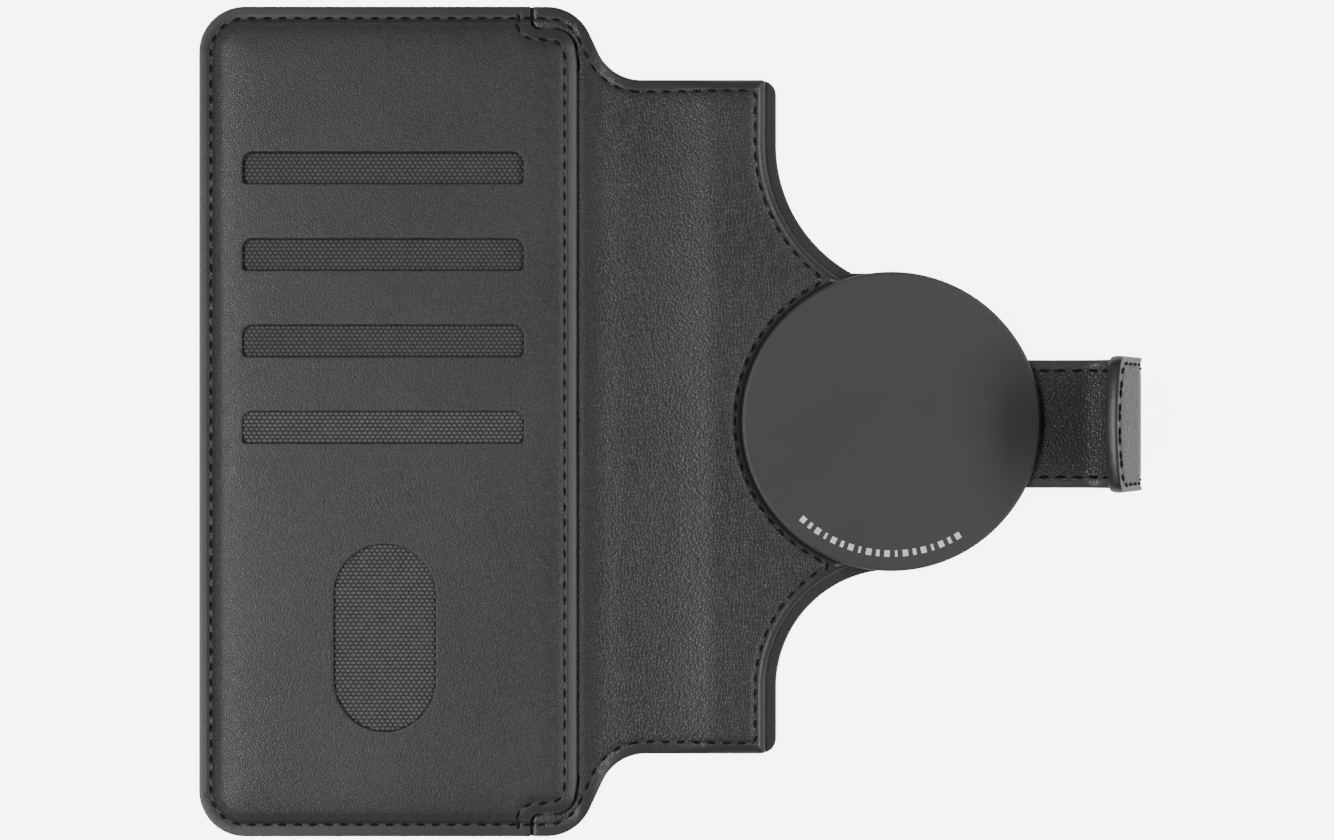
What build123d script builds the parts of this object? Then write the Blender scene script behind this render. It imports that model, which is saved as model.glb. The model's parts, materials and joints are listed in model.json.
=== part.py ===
from build123d import *
import math
import os

# A magnetic folio wallet case, opened flat: a card-pocket cover, a soft spine, and a wing that
# carries a magnetic phone disc and a curled closing strap. Millimetres. The origin is on the
# underside, below the centre of the disc. X runs from the spine to the strap, +Z is up.

os.makedirs("parts", exist_ok=True)

# ---- driving dimensions: the flat outline ----
cover_left = -139.4
cover_half = 83.8
cover_corner = 9.3
wing_top = 69.0
wing_bottom = -67.1
wing_right = -22.8
wing_corner = 3.0
step_radius = 9.5        # both bends of the step between the cover and the spine
step_lean = 0.47         # how far the step goes across for each millimetre down
step_x = -59.0           # where the step's straight crosses step_y
step_y = 75.0
neck_top_radius = 29.6   # the hollow curves between the wing and the disc base
neck_bottom_radius = 23.7
base_radius = 30.0
base_x = 0.9             # the leather base sits a little towards the strap from the disc

# ---- folds ----
cover_fold_x = -60.0
spine_fold_x = -43.5
fold_gap = 1.0           # half of the bare strip left for each fold

# ---- sheet thicknesses and levels ----
leather = 0.8
board = 1.2
fabric = 0.2
board_level = leather
lining_level = leather
wing_top_level = leather + board + leather
panel_under = leather + board + 4 * fabric
panel_top = panel_under + leather
lining_edge = 2.2        # how far the wing lining stops short of the outline
board_edge = 3.2
ramp_start = -39.0       # the wing's lining climbs onto its board between these
ramp_end = -34.5
thread_width = 0.6
thread_height = 0.2
seam_inset = 2.4
neck_seam_inset = 4.4
disc_seam_radius = 31.3

# ---- card panel ----
panel_right = -63.0
notch_x = -72.5          # the panel's corners step in from here
notch_drop = 3.3
notch_radius = 2.5
notch_lean = 1.5         # the right edge leans in towards each corner, eased by notch_ease
notch_ease = 8
panel_overlap = 3.5      # the raised right margin laps over the rest of the rim
panel_seam_inset = 2.5
panel_seam_drop = 3.6
panel_seam_corner = 2.5
plateau_left = -135.2
plateau_right = -66.5
plateau_half = 78.5
plateau_corner = 6
plateau_wall = 0.9
plateau_slope = 35
cavity_slope = 25
cover_board_left = -133.5
cover_board_half = 76.8
window_centre_x = -101.95
window_width = 56.5
window_height = 6.3
window_tops = [54.1, 36.7, 19.35, 2.0]
window_round_top = 2.1
window_round_bottom = 0.8
sheet_above_window = 4.0
sheet_bottom = -68.0
sheet_left = -132.6
sheet_right = -69.5
oval_centre = (-101.6, -43.45)
oval_width = 20.4
oval_length = 37.5

# ---- disc ----
disc_radius = 30.0
disc_bottom = wing_top_level
disc_floor = 0.4
housing_height = 2.0
film = 0.2
ring_inner = 21.5
ring_outer = 27.5
yoke = 0.4
magnet_count = 18
magnet_height = 1.1
magnet_gap_deg = 1.5
mark_radius = 26.4
mark_count = 19
mark_from_deg = 228
mark_to_deg = 300
mark_height = 1.3
mark_lengths = [1.1, 0.7, 1.1, 0.5]
mark_ink = 0.05

# ---- strap and tab ----
strap_y = -0.5
strap_width = 25.8
strap_skin = 0.7
strap_core = 0.6
strap_half = strap_skin + strap_core / 2
strap_level = leather + strap_half
strap_root_x = 20.0
strap_fold_x = 33.0
strap_fold_gap = 0.5
curl_radius = 8.1
curl_out_x = 46.1        # the centre line of the upright stretch
tab_fold_z = 16.0
tab_fold_gap = 1.0
tab_lean = 32
tab_length = 16.5
tab_bulge = 2.6
tab_corner = 3.0
tab_filler = 1.2
tab_half = leather + tab_filler / 2
edge_paint = 0.3
seam_from_edge = 2.2
tab_magnet_size = (8.5, 17.0)
closure_plate_size = (12.0, 22.0)
closure_plate_x = -127.0


def step_at(y, inset=0.0):
    """X of the step's straight at height y, moved in by inset."""
    return step_x + (step_y - abs(y)) * step_lean - inset * math.hypot(1, step_lean)


def circles_meet(c1, r1, c2, r2):
    """The leftmost of the two points where two circles cross."""
    dx = c2[0] - c1[0]
    dy = c2[1] - c1[1]
    d = math.hypot(dx, dy)
    a = (r1 * r1 - r2 * r2 + d * d) / (2 * d)
    h = math.sqrt(r1 * r1 - a * a)
    mid = (c1[0] + a * dx / d, c1[1] + a * dy / d)
    pair = [(mid[0] + s * h * dy / d, mid[1] - s * h * dx / d) for s in (1, -1)]
    return min(pair)


neck_top = (wing_right + neck_top_radius, 55.9)
neck_bottom = (base_x, -base_radius - neck_bottom_radius)


def rim(inset, side_inset):
    """The open line round the cover and the wing, from the upper neck to the lower one."""
    side = wing_right - side_inset
    top = wing_top - inset
    bottom = wing_bottom + inset
    half = cover_half - inset
    points = [
        (side, neck_top[1]),
        (side, top),
        (step_at(top, inset), top),
        (step_at(half, inset), half),
        (cover_left + inset, half),
        (cover_left + inset, -half),
        (step_at(half, inset), -half),
        (step_at(bottom, inset), bottom),
        (side, bottom),
        (side, neck_bottom[1]),
    ]
    outer = step_radius - inset
    inner = step_radius + inset
    left = cover_corner - inset
    wing = max(wing_corner - side_inset, 0.4)
    return FilletPolyline(*points, radius=[wing, inner, outer, left, left, outer, inner, wing])


# The whole flat sheet of outer leather, cut into its three bodies below.
with BuildSketch() as sheet:
    with BuildLine():
        rim(0, 0)
        CenterArc(neck_bottom, neck_bottom_radius, 180, -90)
        CenterArc((base_x, 0), base_radius, -90, 180)
        neck_drop = neck_top[1] - base_radius
        neck_turn = math.asin(neck_drop / neck_top_radius)
        neck_end = (neck_top[0] - neck_top_radius * math.cos(neck_turn), base_radius)
        Line((base_x, base_radius), neck_end)
        CenterArc(neck_top, neck_top_radius, 180, math.degrees(neck_turn))
    make_face()

strap_clear = strap_root_x - 0.5


def neck_line(inset, meet_radius):
    """Both necks moved in by inset, joined under the disc by a line that stops before the strap.

    Each neck ends where it crosses a circle of meet_radius about the disc's centre."""
    side = wing_right - inset
    low_radius = neck_bottom_radius + inset
    high_radius = neck_top_radius + inset
    low = circles_meet(neck_bottom, low_radius, (0, 0), meet_radius)
    high = circles_meet(neck_top, high_radius, (0, 0), meet_radius)
    RadiusArc((side, neck_bottom[1]), low, low_radius)
    Polyline(low, (strap_clear, low[1]), (strap_clear, high[1]), high)
    RadiusArc(high, (side, neck_top[1]), high_radius)


# The lining stops short of the outline on the wing's right side and runs on under the disc.
with BuildSketch() as lining_sheet:
    with BuildLine():
        rim(0, lining_edge)
        neck_line(lining_edge, disc_radius - 1.0)
    make_face()

# The perimeter seam: round the sheet, along the necks, and round the disc's left side.
with BuildSketch() as seam_sheet:
    with BuildLine():
        rim(seam_inset, neck_seam_inset)
        seam_x = wing_right - neck_seam_inset
        low_radius = neck_bottom_radius + neck_seam_inset
        high_radius = neck_top_radius + neck_seam_inset
        seam_low = circles_meet(neck_bottom, low_radius, (0, 0), disc_seam_radius)
        seam_high = circles_meet(neck_top, high_radius, (0, 0), disc_seam_radius)
        RadiusArc((seam_x, neck_bottom[1]), seam_low, low_radius)
        ThreePointArc(seam_low, (-disc_seam_radius, 0), seam_high)
        RadiusArc(seam_high, (seam_x, neck_top[1]), high_radius)
    trace(line_width=thread_width)


def keep(part, name):
    """Names a finished piece and writes its STEP file."""
    part.label = name
    export_step(part, f"parts/{name}.step")


def slab(left, right, bottom, top, half=cover_half + 5):
    """A block across the case between two X lines, used to cut the sheets into bodies."""
    with BuildPart(mode=Mode.PRIVATE) as block:
        with BuildSketch(Plane.XY.offset(bottom)):
            with Locations(((left + right) / 2, 0)):
                Rectangle(right - left, 2 * half)
        extrude(amount=top - bottom)
    return block.part


def cut_from(outline, left, right, bottom, top):
    """The stretch of a flat outline between two X lines, as a solid."""
    with BuildPart(mode=Mode.PRIVATE) as piece:
        with BuildSketch(Plane.XY.offset(bottom)):
            add(outline.sketch)
        extrude(amount=top - bottom)
        add(slab(left, right, bottom, top), mode=Mode.INTERSECT)
    return piece.part


cover_end = cover_fold_x - fold_gap
spine_start = cover_fold_x + fold_gap
spine_end = spine_fold_x - fold_gap
wing_start = spine_fold_x + fold_gap
far_left = cover_left - 5
far_right = base_x + base_radius + 5

# ---- cover ----
with BuildPart() as cover_outer_leather:
    add(cut_from(sheet, far_left, cover_end, 0, leather))
keep(cover_outer_leather.part, "cover_outer_leather")

strip_left = notch_x + 0.2
with BuildPart() as cover_hinge_lining:
    add(cut_from(sheet, strip_left, cover_end, lining_level, lining_level + leather))
keep(cover_hinge_lining.part, "cover_hinge_lining")

with BuildPart() as cover_board:
    with BuildSketch(Plane.XY.offset(board_level)):
        with Locations(((cover_board_left + notch_x - 0.5) / 2, 0)):
            RectangleRounded(notch_x - 0.5 - cover_board_left, 2 * cover_board_half, 4)
    extrude(amount=board)
    with BuildSketch(Plane.XY.offset(board_level)):
        with Locations((closure_plate_x, strap_y)):
            Rectangle(*closure_plate_size)
    extrude(amount=leather, mode=Mode.SUBTRACT)
keep(cover_board.part, "cover_board")

with BuildPart() as closure_keeper_plate:
    with BuildSketch(Plane.XY.offset(board_level)):
        with Locations((closure_plate_x, strap_y)):
            RectangleRounded(closure_plate_size[0] - 0.4, closure_plate_size[1] - 0.4, 1)
    extrude(amount=leather)
keep(closure_keeper_plate.part, "closure_keeper_plate")

# Each fabric sheet starts above its own window and hangs behind the sheets in front of it.
for number, window_top in enumerate(window_tops):
    sheet_top = window_top + sheet_above_window
    sheet_level = board_level + board + number * fabric
    with BuildPart() as pocket_fabric:
        with BuildSketch(Plane.XY.offset(sheet_level)):
            with Locations(((sheet_left + sheet_right) / 2, (sheet_top + sheet_bottom) / 2)):
                Rectangle(sheet_right - sheet_left, sheet_top - sheet_bottom)
        extrude(amount=fabric)
    keep(pocket_fabric.part, f"pocket_fabric_{number + 1}")

with BuildPart() as card_panel_leather:
    low_rim = leather + lining_level
    add(cut_from(sheet, far_left, notch_x, lining_level, low_rim))
    with BuildSketch(Plane.XY.offset(low_rim)):
        with BuildLine():
            notch_y = cover_half - notch_drop
            turn_y = notch_y - 2 * notch_radius
            overlap_x = notch_x - panel_overlap
            FilletPolyline((overlap_x, notch_y), (panel_right - notch_lean, notch_y),
                           (panel_right, turn_y), (panel_right, -turn_y),
                           (panel_right - notch_lean, -notch_y), (overlap_x, -notch_y),
                           radius=[notch_radius, notch_ease, notch_ease, notch_radius])
            Line((overlap_x, -notch_y), (overlap_x, notch_y))
        make_face()
    extrude(amount=leather)
    with BuildSketch(Plane.XY.offset(low_rim)):
        with Locations(((plateau_left + plateau_right) / 2, 0)):
            RectangleRounded(plateau_right - plateau_left, 2 * plateau_half, plateau_corner)
    extrude(amount=panel_top - low_rim, taper=plateau_slope)
    with BuildSketch(Plane.XY.offset(lining_level)):
        with Locations(((plateau_left + plateau_right) / 2, 0)):
            RectangleRounded(plateau_right - plateau_left - 2 * plateau_wall,
                             2 * (plateau_half - plateau_wall), plateau_corner - plateau_wall)
    extrude(amount=panel_under - lining_level, taper=cavity_slope, mode=Mode.SUBTRACT)
    with BuildSketch(Plane.XY.offset(lining_level)):
        for window_top in window_tops:
            left = window_centre_x - window_width / 2
            right = window_centre_x + window_width / 2
            with BuildLine():
                FilletPolyline((left, window_top), (right, window_top),
                               (right, window_top - window_height),
                               (left, window_top - window_height), close=True,
                               radius=[window_round_top, window_round_top,
                                       window_round_bottom, window_round_bottom])
            make_face()
        with Locations(oval_centre):
            SlotOverall(oval_length, oval_width, rotation=90)
    extrude(amount=panel_top, mode=Mode.SUBTRACT)
keep(card_panel_leather.part, "card_panel_leather")

with BuildPart() as cover_perimeter_thread:
    add(cut_from(seam_sheet, far_left, cover_end, low_rim, low_rim + thread_height))
    # the seam runs outside the panel's raised right margin
    margin_left = notch_x - panel_overlap - 1.0
    add(slab(margin_left, panel_right + 0.2, low_rim, panel_top, notch_y + 0.1),
        mode=Mode.SUBTRACT)
keep(cover_perimeter_thread.part, "cover_perimeter_thread")

with BuildPart() as card_panel_thread:
    edge_seam_x = panel_right - panel_seam_inset
    edge_seam_y = notch_y - panel_seam_drop
    with BuildSketch(Plane.XY.offset(low_rim + leather)):
        with BuildLine():
            FilletPolyline((notch_x - 1.0, edge_seam_y), (edge_seam_x, edge_seam_y),
                           (edge_seam_x, -edge_seam_y), (notch_x - 1.0, -edge_seam_y),
                           radius=panel_seam_corner)
        trace(line_width=thread_width)
    extrude(amount=thread_height)
    add(card_panel_leather.part, mode=Mode.SUBTRACT)
keep(card_panel_thread.part, "card_panel_thread")

# ---- spine ----
with BuildPart() as spine_outer_leather:
    add(cut_from(sheet, spine_start, spine_end, 0, leather))
keep(spine_outer_leather.part, "spine_outer_leather")

with BuildPart() as spine_lining_leather:
    add(cut_from(sheet, spine_start, spine_end, lining_level, lining_level + leather))
keep(spine_lining_leather.part, "spine_lining_leather")

with BuildPart() as spine_thread:
    add(cut_from(seam_sheet, spine_start, spine_end, low_rim, low_rim + thread_height))
keep(spine_thread.part, "spine_thread")

# ---- wing ----
with BuildPart() as wing_outer_leather:
    add(cut_from(sheet, wing_start, far_right, 0, leather))
keep(wing_outer_leather.part, "wing_outer_leather")

with BuildSketch() as board_outline:
    with BuildLine():
        board_side = wing_right - board_edge
        board_top = wing_top - board_edge
        board_bottom = wing_bottom + board_edge
        board_left = ramp_end + 0.4
        Polyline((board_side, neck_top[1]), (board_side, board_top), (board_left, board_top),
                 (board_left, board_bottom), (board_side, board_bottom),
                 (board_side, neck_bottom[1]))
        neck_line(board_edge, disc_radius - 2.5)
    make_face()
# What lies under the disc is round, and what lies left of its centre line is left whole.
with BuildSketch() as under_disc:
    Circle(disc_radius - 1.5)
    with Locations((-cover_half, 0)):
        Rectangle(2 * cover_half, 2 * cover_half)
with BuildPart() as wing_board:
    with BuildSketch(Plane.XY.offset(board_level)):
        add(board_outline.sketch)
        add(under_disc.sketch, mode=Mode.INTERSECT)
    extrude(amount=board)
keep(wing_board.part, "wing_board")

with BuildPart() as wing_lining_leather:
    with BuildSketch(Plane.XZ):
        with BuildLine():
            Polyline((wing_start, lining_level), (strap_clear, lining_level),
                     (strap_clear, wing_top_level), (ramp_end, wing_top_level),
                     (ramp_start, lining_level + leather), (wing_start, lining_level + leather),
                     close=True)
        make_face()
    extrude(amount=cover_half, both=True)
    with BuildSketch(Plane.XY.offset(lining_level)):
        add(lining_sheet.sketch)
        add(under_disc.sketch, mode=Mode.INTERSECT)
    extrude(amount=wing_top_level, mode=Mode.INTERSECT)
    add(wing_board.part, mode=Mode.SUBTRACT)
keep(wing_lining_leather.part, "wing_lining_leather")

with BuildPart() as wing_thread:
    add(cut_from(seam_sheet, ramp_end + 0.2, far_right, wing_top_level,
                 wing_top_level + thread_height))
    add(cut_from(seam_sheet, wing_start, ramp_start - 0.2, low_rim, low_rim + thread_height))
keep(wing_thread.part, "wing_thread")

# ---- disc ----
ring_floor = disc_bottom + disc_floor
housing_top = disc_bottom + housing_height
with BuildPart() as disc_housing:
    with BuildSketch(Plane.XY.offset(disc_bottom)):
        Circle(disc_radius)
    extrude(amount=housing_height)
    with BuildSketch(Plane.XY.offset(ring_floor)):
        Circle(ring_outer)
        Circle(ring_inner, mode=Mode.SUBTRACT)
    extrude(amount=housing_height, mode=Mode.SUBTRACT)
keep(disc_housing.part, "disc_housing")

with BuildPart() as disc_yoke_ring:
    with BuildSketch(Plane.XY.offset(ring_floor)):
        Circle(ring_outer - 0.1)
        Circle(ring_inner + 0.1, mode=Mode.SUBTRACT)
    extrude(amount=yoke)
keep(disc_yoke_ring.part, "disc_yoke_ring")

magnet_pitch = 360 / magnet_count
with BuildPart() as disc_magnets:
    for magnet in range(magnet_count):
        with BuildSketch(Plane.XY.offset(ring_floor + yoke)):
            with BuildLine():
                start = magnet * magnet_pitch
                inner_arc = CenterArc((0, 0), ring_inner + 0.3, start, magnet_pitch - magnet_gap_deg)
                outer_arc = CenterArc((0, 0), ring_outer - 0.3, start, magnet_pitch - magnet_gap_deg)
                Line(inner_arc @ 0, outer_arc @ 0)
                Line(inner_arc @ 1, outer_arc @ 1)
            make_face()
        extrude(amount=magnet_height)
keep(disc_magnets.part, "disc_magnets")

# A plain row of short dashes printed along the disc's lower edge, flush with the film.
with BuildPart() as disc_printed_marks:
    with BuildSketch(Plane.XY.offset(housing_top + film - mark_ink)):
        for step in range(mark_count):
            bearing = mark_from_deg + (mark_to_deg - mark_from_deg) * step / (mark_count - 1)
            angle = math.radians(bearing)
            with Locations(Location((mark_radius * math.cos(angle), mark_radius * math.sin(angle)),
                                    bearing)):
                Rectangle(mark_height, mark_lengths[step % len(mark_lengths)])
    extrude(amount=mark_ink)
keep(disc_printed_marks.part, "disc_printed_marks")

with BuildPart() as disc_cover_film:
    with BuildSketch(Plane.XY.offset(housing_top)):
        Circle(disc_radius)
    extrude(amount=film)
    fillet(disc_cover_film.edges().group_by(Axis.Z)[-1], film * 0.7)
    add(disc_printed_marks.part, mode=Mode.SUBTRACT)
keep(disc_cover_film.part, "disc_cover_film")

# ---- strap ----
# The strap runs flat, turns up through a quarter circle and stands upright. Its layers are bands
# between two distances from one centre line, measured towards the inside of the curl.
strap_centre = Plane.XZ.offset(-strap_y)
layers = {
    "outer_leather": (-strap_half, -strap_core / 2),
    "core": (-strap_core / 2, strap_core / 2),
    "inner_leather": (strap_core / 2, strap_half),
}
for layer, (low, high) in layers.items():
    with BuildPart() as strap_root:
        with BuildSketch(strap_centre):
            with Locations(((strap_root_x + strap_fold_x - strap_fold_gap) / 2,
                            strap_level + (low + high) / 2)):
                Rectangle(strap_fold_x - strap_fold_gap - strap_root_x, high - low)
        extrude(amount=strap_width / 2, both=True)
    keep(strap_root.part, f"strap_root_{layer}")


def curl_band(low, high):
    """The outline of one layer of the curled stretch, in the strap's XZ plane."""
    start = strap_fold_x + strap_fold_gap
    end = tab_fold_z - tab_fold_gap
    with BuildLine(mode=Mode.PRIVATE) as band:
        for offset_in in (low, high):
            FilletPolyline((start, strap_level + offset_in),
                           (curl_out_x - offset_in, strap_level + offset_in),
                           (curl_out_x - offset_in, end), radius=curl_radius - offset_in)
        Line((start, strap_level + low), (start, strap_level + high))
        Line((curl_out_x - low, end), (curl_out_x - high, end))
    return band.line


for layer, (low, high) in layers.items():
    with BuildPart() as strap_layer:
        with BuildSketch(strap_centre):
            make_face(curl_band(low, high).edges())
        extrude(amount=strap_width / 2, both=True)
    keep(strap_layer.part, f"strap_{layer}")

seam_lines = [strap_y + side * (strap_width / 2 - seam_from_edge) for side in (1, -1)]
with BuildPart() as strap_root_thread:
    with BuildSketch(Plane.XY.offset(strap_level + strap_half)):
        for line_y in seam_lines:
            root_seam_start = disc_radius + 0.4
            root_seam_end = strap_fold_x - strap_fold_gap
            with Locations(((root_seam_start + root_seam_end) / 2, line_y)):
                Rectangle(root_seam_end - root_seam_start, thread_width)
    extrude(amount=thread_height)
keep(strap_root_thread.part, "strap_root_thread")

with BuildPart() as strap_thread:
    for line_y in seam_lines:
        with BuildSketch(Plane.XZ.offset(-line_y)):
            make_face(curl_band(strap_half, strap_half + thread_height).edges())
        extrude(amount=thread_width / 2, both=True)
        with BuildSketch(Plane.XZ.offset(-line_y)):
            make_face(curl_band(-strap_half - thread_height, -strap_half).edges())
        extrude(amount=thread_width / 2, both=True)
keep(strap_thread.part, "strap_thread")

# ---- tab ----
# Drawn in its own plane: along its length from the fold, across the strap, and through it to the inside of the curl.
lean = math.radians(tab_lean)
tab_along = Vector(-math.sin(lean), 0, math.cos(lean))
tab_plane = Plane(origin=(curl_out_x, strap_y, tab_fold_z), x_dir=tab_along,
                  z_dir=tab_along.cross(Vector(0, 1, 0)))


def tab_outline(inset):
    """The tab's outline: straight sides, rounded corners and a bowed end."""
    side = strap_width / 2 - inset
    shoulder = tab_length - tab_bulge - inset
    with BuildSketch(mode=Mode.PRIVATE) as outline:
        with BuildLine():
            Polyline((shoulder, -side), (tab_fold_gap, -side), (tab_fold_gap, side), (shoulder, side))
            ThreePointArc((shoulder, side), (tab_length - inset, 0), (shoulder, -side))
        make_face()
        fillet(outline.vertices().group_by(Axis.X)[-1], tab_corner)
    return outline.sketch


tab_layers = {
    "tab_outer_leather": (-tab_half, -tab_half + leather),
    "tab_filler": (-tab_half + leather, tab_half - leather),
    "tab_inner_leather": (tab_half - leather, tab_half),
}
for layer, (low, high) in tab_layers.items():
    with BuildPart() as tab_layer:
        with BuildSketch(tab_plane.offset(low)):
            add(tab_outline(edge_paint))
        extrude(amount=high - low)
        if layer == "tab_filler":
            with BuildSketch(tab_plane.offset(low)):
                with Locations((tab_length / 2, 0)):
                    Rectangle(*tab_magnet_size)
            extrude(amount=high - low, mode=Mode.SUBTRACT)
    keep(tab_layer.part, layer)

with BuildPart() as tab_magnet:
    with BuildSketch(tab_plane.offset(-tab_half + leather)):
        with Locations((tab_length / 2, 0)):
            Rectangle(tab_magnet_size[0] - 0.2, tab_magnet_size[1] - 0.2)
    extrude(amount=2 * (tab_half - leather))
keep(tab_magnet.part, "tab_magnet")

with BuildPart() as tab_edge_paint:
    with BuildSketch(tab_plane.offset(-tab_half)):
        add(tab_outline(0))
        add(tab_outline(edge_paint), mode=Mode.SUBTRACT)
    extrude(amount=2 * tab_half)
keep(tab_edge_paint.part, "tab_edge_paint")

with BuildPart() as tab_thread:
    for face_level in (tab_half, -tab_half - thread_height):
        with BuildSketch(tab_plane.offset(face_level)):
            add(tab_outline(seam_from_edge - thread_width / 2))
            add(tab_outline(seam_from_edge + thread_width / 2), mode=Mode.SUBTRACT)
            with Locations((tab_fold_gap + 0.4, 0)):
                Rectangle(0.8, strap_width, mode=Mode.SUBTRACT)
        extrude(amount=thread_height)
keep(tab_thread.part, "tab_thread")
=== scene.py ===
import json
import math
import bpy
import bmesh
import numpy as np
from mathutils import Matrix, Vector
from mathutils.geometry import delaunay_2d_cdt


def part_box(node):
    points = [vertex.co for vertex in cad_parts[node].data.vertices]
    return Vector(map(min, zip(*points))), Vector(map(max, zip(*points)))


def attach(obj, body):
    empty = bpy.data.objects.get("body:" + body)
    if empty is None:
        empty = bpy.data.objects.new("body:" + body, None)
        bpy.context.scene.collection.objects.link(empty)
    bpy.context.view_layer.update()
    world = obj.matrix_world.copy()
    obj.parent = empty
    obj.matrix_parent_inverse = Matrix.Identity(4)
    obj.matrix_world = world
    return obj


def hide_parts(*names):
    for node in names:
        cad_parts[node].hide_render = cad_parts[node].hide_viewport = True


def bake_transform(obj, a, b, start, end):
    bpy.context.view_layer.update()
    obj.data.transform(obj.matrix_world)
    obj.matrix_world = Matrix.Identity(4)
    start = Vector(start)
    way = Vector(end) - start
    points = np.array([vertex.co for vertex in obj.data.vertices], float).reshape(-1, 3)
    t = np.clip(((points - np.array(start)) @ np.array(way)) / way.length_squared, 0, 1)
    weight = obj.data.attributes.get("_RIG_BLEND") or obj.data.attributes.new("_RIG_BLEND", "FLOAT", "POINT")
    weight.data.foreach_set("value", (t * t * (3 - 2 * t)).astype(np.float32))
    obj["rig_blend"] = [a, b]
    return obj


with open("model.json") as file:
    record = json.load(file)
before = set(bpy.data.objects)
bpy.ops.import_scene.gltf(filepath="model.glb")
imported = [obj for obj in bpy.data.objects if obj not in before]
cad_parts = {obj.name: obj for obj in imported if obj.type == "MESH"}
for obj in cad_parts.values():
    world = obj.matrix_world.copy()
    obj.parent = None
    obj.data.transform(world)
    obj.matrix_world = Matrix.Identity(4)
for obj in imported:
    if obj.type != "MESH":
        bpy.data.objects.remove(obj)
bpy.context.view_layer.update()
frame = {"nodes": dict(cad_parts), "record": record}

mm = 0.001
print("frame loaded:", len(frame["nodes"]), "nodes")


def nodeBox(name):
    low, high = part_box(name)
    return Vector(low) / mm, Vector(high) / mm


# Places that come from the frame, in millimetres.
coverLow, coverHigh = nodeBox("cover_outer_leather")
wingLow, wingHigh = nodeBox("wing_outer_leather")
_, panelHigh = nodeBox("card_panel_leather")
filmLow, filmHigh = nodeBox("disc_cover_film")
strapLow, strapHigh = nodeBox("strap_outer_leather")
hinges = {joint["name"]: Vector(joint["pos_m"]) / mm for joint in frame["record"]["behaviour"]["joints"]}

# The flat outline, in millimetres.
shape = {
    "coverCorner": 9.3,
    "stepRadius": 9.5,
    "stepLean": 0.47,
    "stepX": -59.0,
    "stepY": 75.0,
    "wingRight": -22.8,
    "wingCorner": 3.0,
    "neckTopRadius": 29.6,
    "neckTopY": 55.9,
    "neckBottomRadius": 23.7,
    "baseRadius": 30.0,
    "baseX": 0.9,
    "seamInset": 2.4,
    "neckSeamInset": 4.4,
    "discSeamRadius": 31.3,
    "liningEdge": 2.2,
    "splitX": 0.5 * (hinges["cover_fold"].x + hinges["spine_fold"].x),
    "foldReach": 2.7,     # leather bends this far each side of a fold
}
neckTop = (shape["wingRight"] + shape["neckTopRadius"], shape["neckTopY"])
neckBottom = (shape["baseX"], -shape["baseRadius"] - shape["neckBottomRadius"])


# Flat paths.
def arcPoints(centre, radius, start, end, step=0.55):
    count = max(2, int(abs(math.radians(end - start)) * radius / step) + 1)
    angles = np.radians(np.linspace(start, end, count + 1))
    return [(centre[0] + radius * math.cos(a), centre[1] + radius * math.sin(a)) for a in angles]


def roundedLine(points, radii, step=0.55):
    # radii has one value for each inner corner
    out = [points[0]]
    for i in range(1, len(points) - 1):
        corner = Vector(points[i])
        back = (Vector(points[i - 1]) - corner).normalized()
        ahead = (Vector(points[i + 1]) - corner).normalized()
        half = back.angle(ahead) / 2
        radius = radii[i - 1]
        reach = radius / math.tan(half)
        centre = corner + (back + ahead).normalized() * (radius / math.sin(half))
        first = corner + back * reach - centre
        last = corner + ahead * reach - centre
        turn = math.atan2(first.cross(last), first.dot(last))
        count = max(3, int(abs(turn) * radius / step) + 1)
        base = math.atan2(first.y, first.x)
        for k in range(count + 1):
            a = base + turn * k / count
            out.append((centre.x + radius * math.cos(a), centre.y + radius * math.sin(a)))
    out.append(points[-1])
    return out


def dense(points, step=0.55, closed=False):
    # more points on the long straights, none removed
    line = list(points) + ([points[0]] if closed else [])
    out = []
    for a, b in zip(line, line[1:]):
        length = math.dist(a, b)
        if length < 1e-6:
            continue
        count = max(1, round(length / step))
        out += [(a[0] + (b[0] - a[0]) * k / count, a[1] + (b[1] - a[1]) * k / count) for k in range(count)]
    return out if closed else out + [line[-1]]


def circlesMeet(c1, r1, c2, r2):
    dx, dy = c2[0] - c1[0], c2[1] - c1[1]
    d = math.hypot(dx, dy)
    a = (r1 * r1 - r2 * r2 + d * d) / (2 * d)
    h = math.sqrt(r1 * r1 - a * a)
    mid = (c1[0] + a * dx / d, c1[1] + a * dy / d)
    return min((mid[0] + s * h * dy / d, mid[1] - s * h * dx / d) for s in (1, -1))


def angleAt(centre, point):
    return math.degrees(math.atan2(point[1] - centre[1], point[0] - centre[0]))


def stepAt(y, inset):
    lean = shape["stepLean"]
    return shape["stepX"] + (shape["stepY"] - abs(y)) * lean - inset * math.hypot(1, lean)


def rimLine(inset, sideInset):
    side = shape["wingRight"] - sideInset
    top = wingHigh.y - inset
    bottom = wingLow.y + inset
    half = coverHigh.y - inset
    left = coverLow.x + inset
    points = [(side, neckTop[1]), (side, top), (stepAt(top, inset), top), (stepAt(half, inset), half),
              (left, half), (left, -half), (stepAt(half, inset), -half), (stepAt(bottom, inset), bottom),
              (side, bottom), (side, neckBottom[1])]
    outer = shape["stepRadius"] - inset
    inner = shape["stepRadius"] + inset
    corner = shape["coverCorner"] - inset
    wing = max(shape["wingCorner"] - sideInset, 0.4)
    return roundedLine(points, [wing, inner, outer, corner, corner, outer, inner, wing])


def neckArc(centre, radius, end, upper):
    # from the wing's right side, inwards along the hollow of the neck
    return arcPoints(centre, radius, 180, angleAt(centre, end) + (360 if upper else 0))


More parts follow.
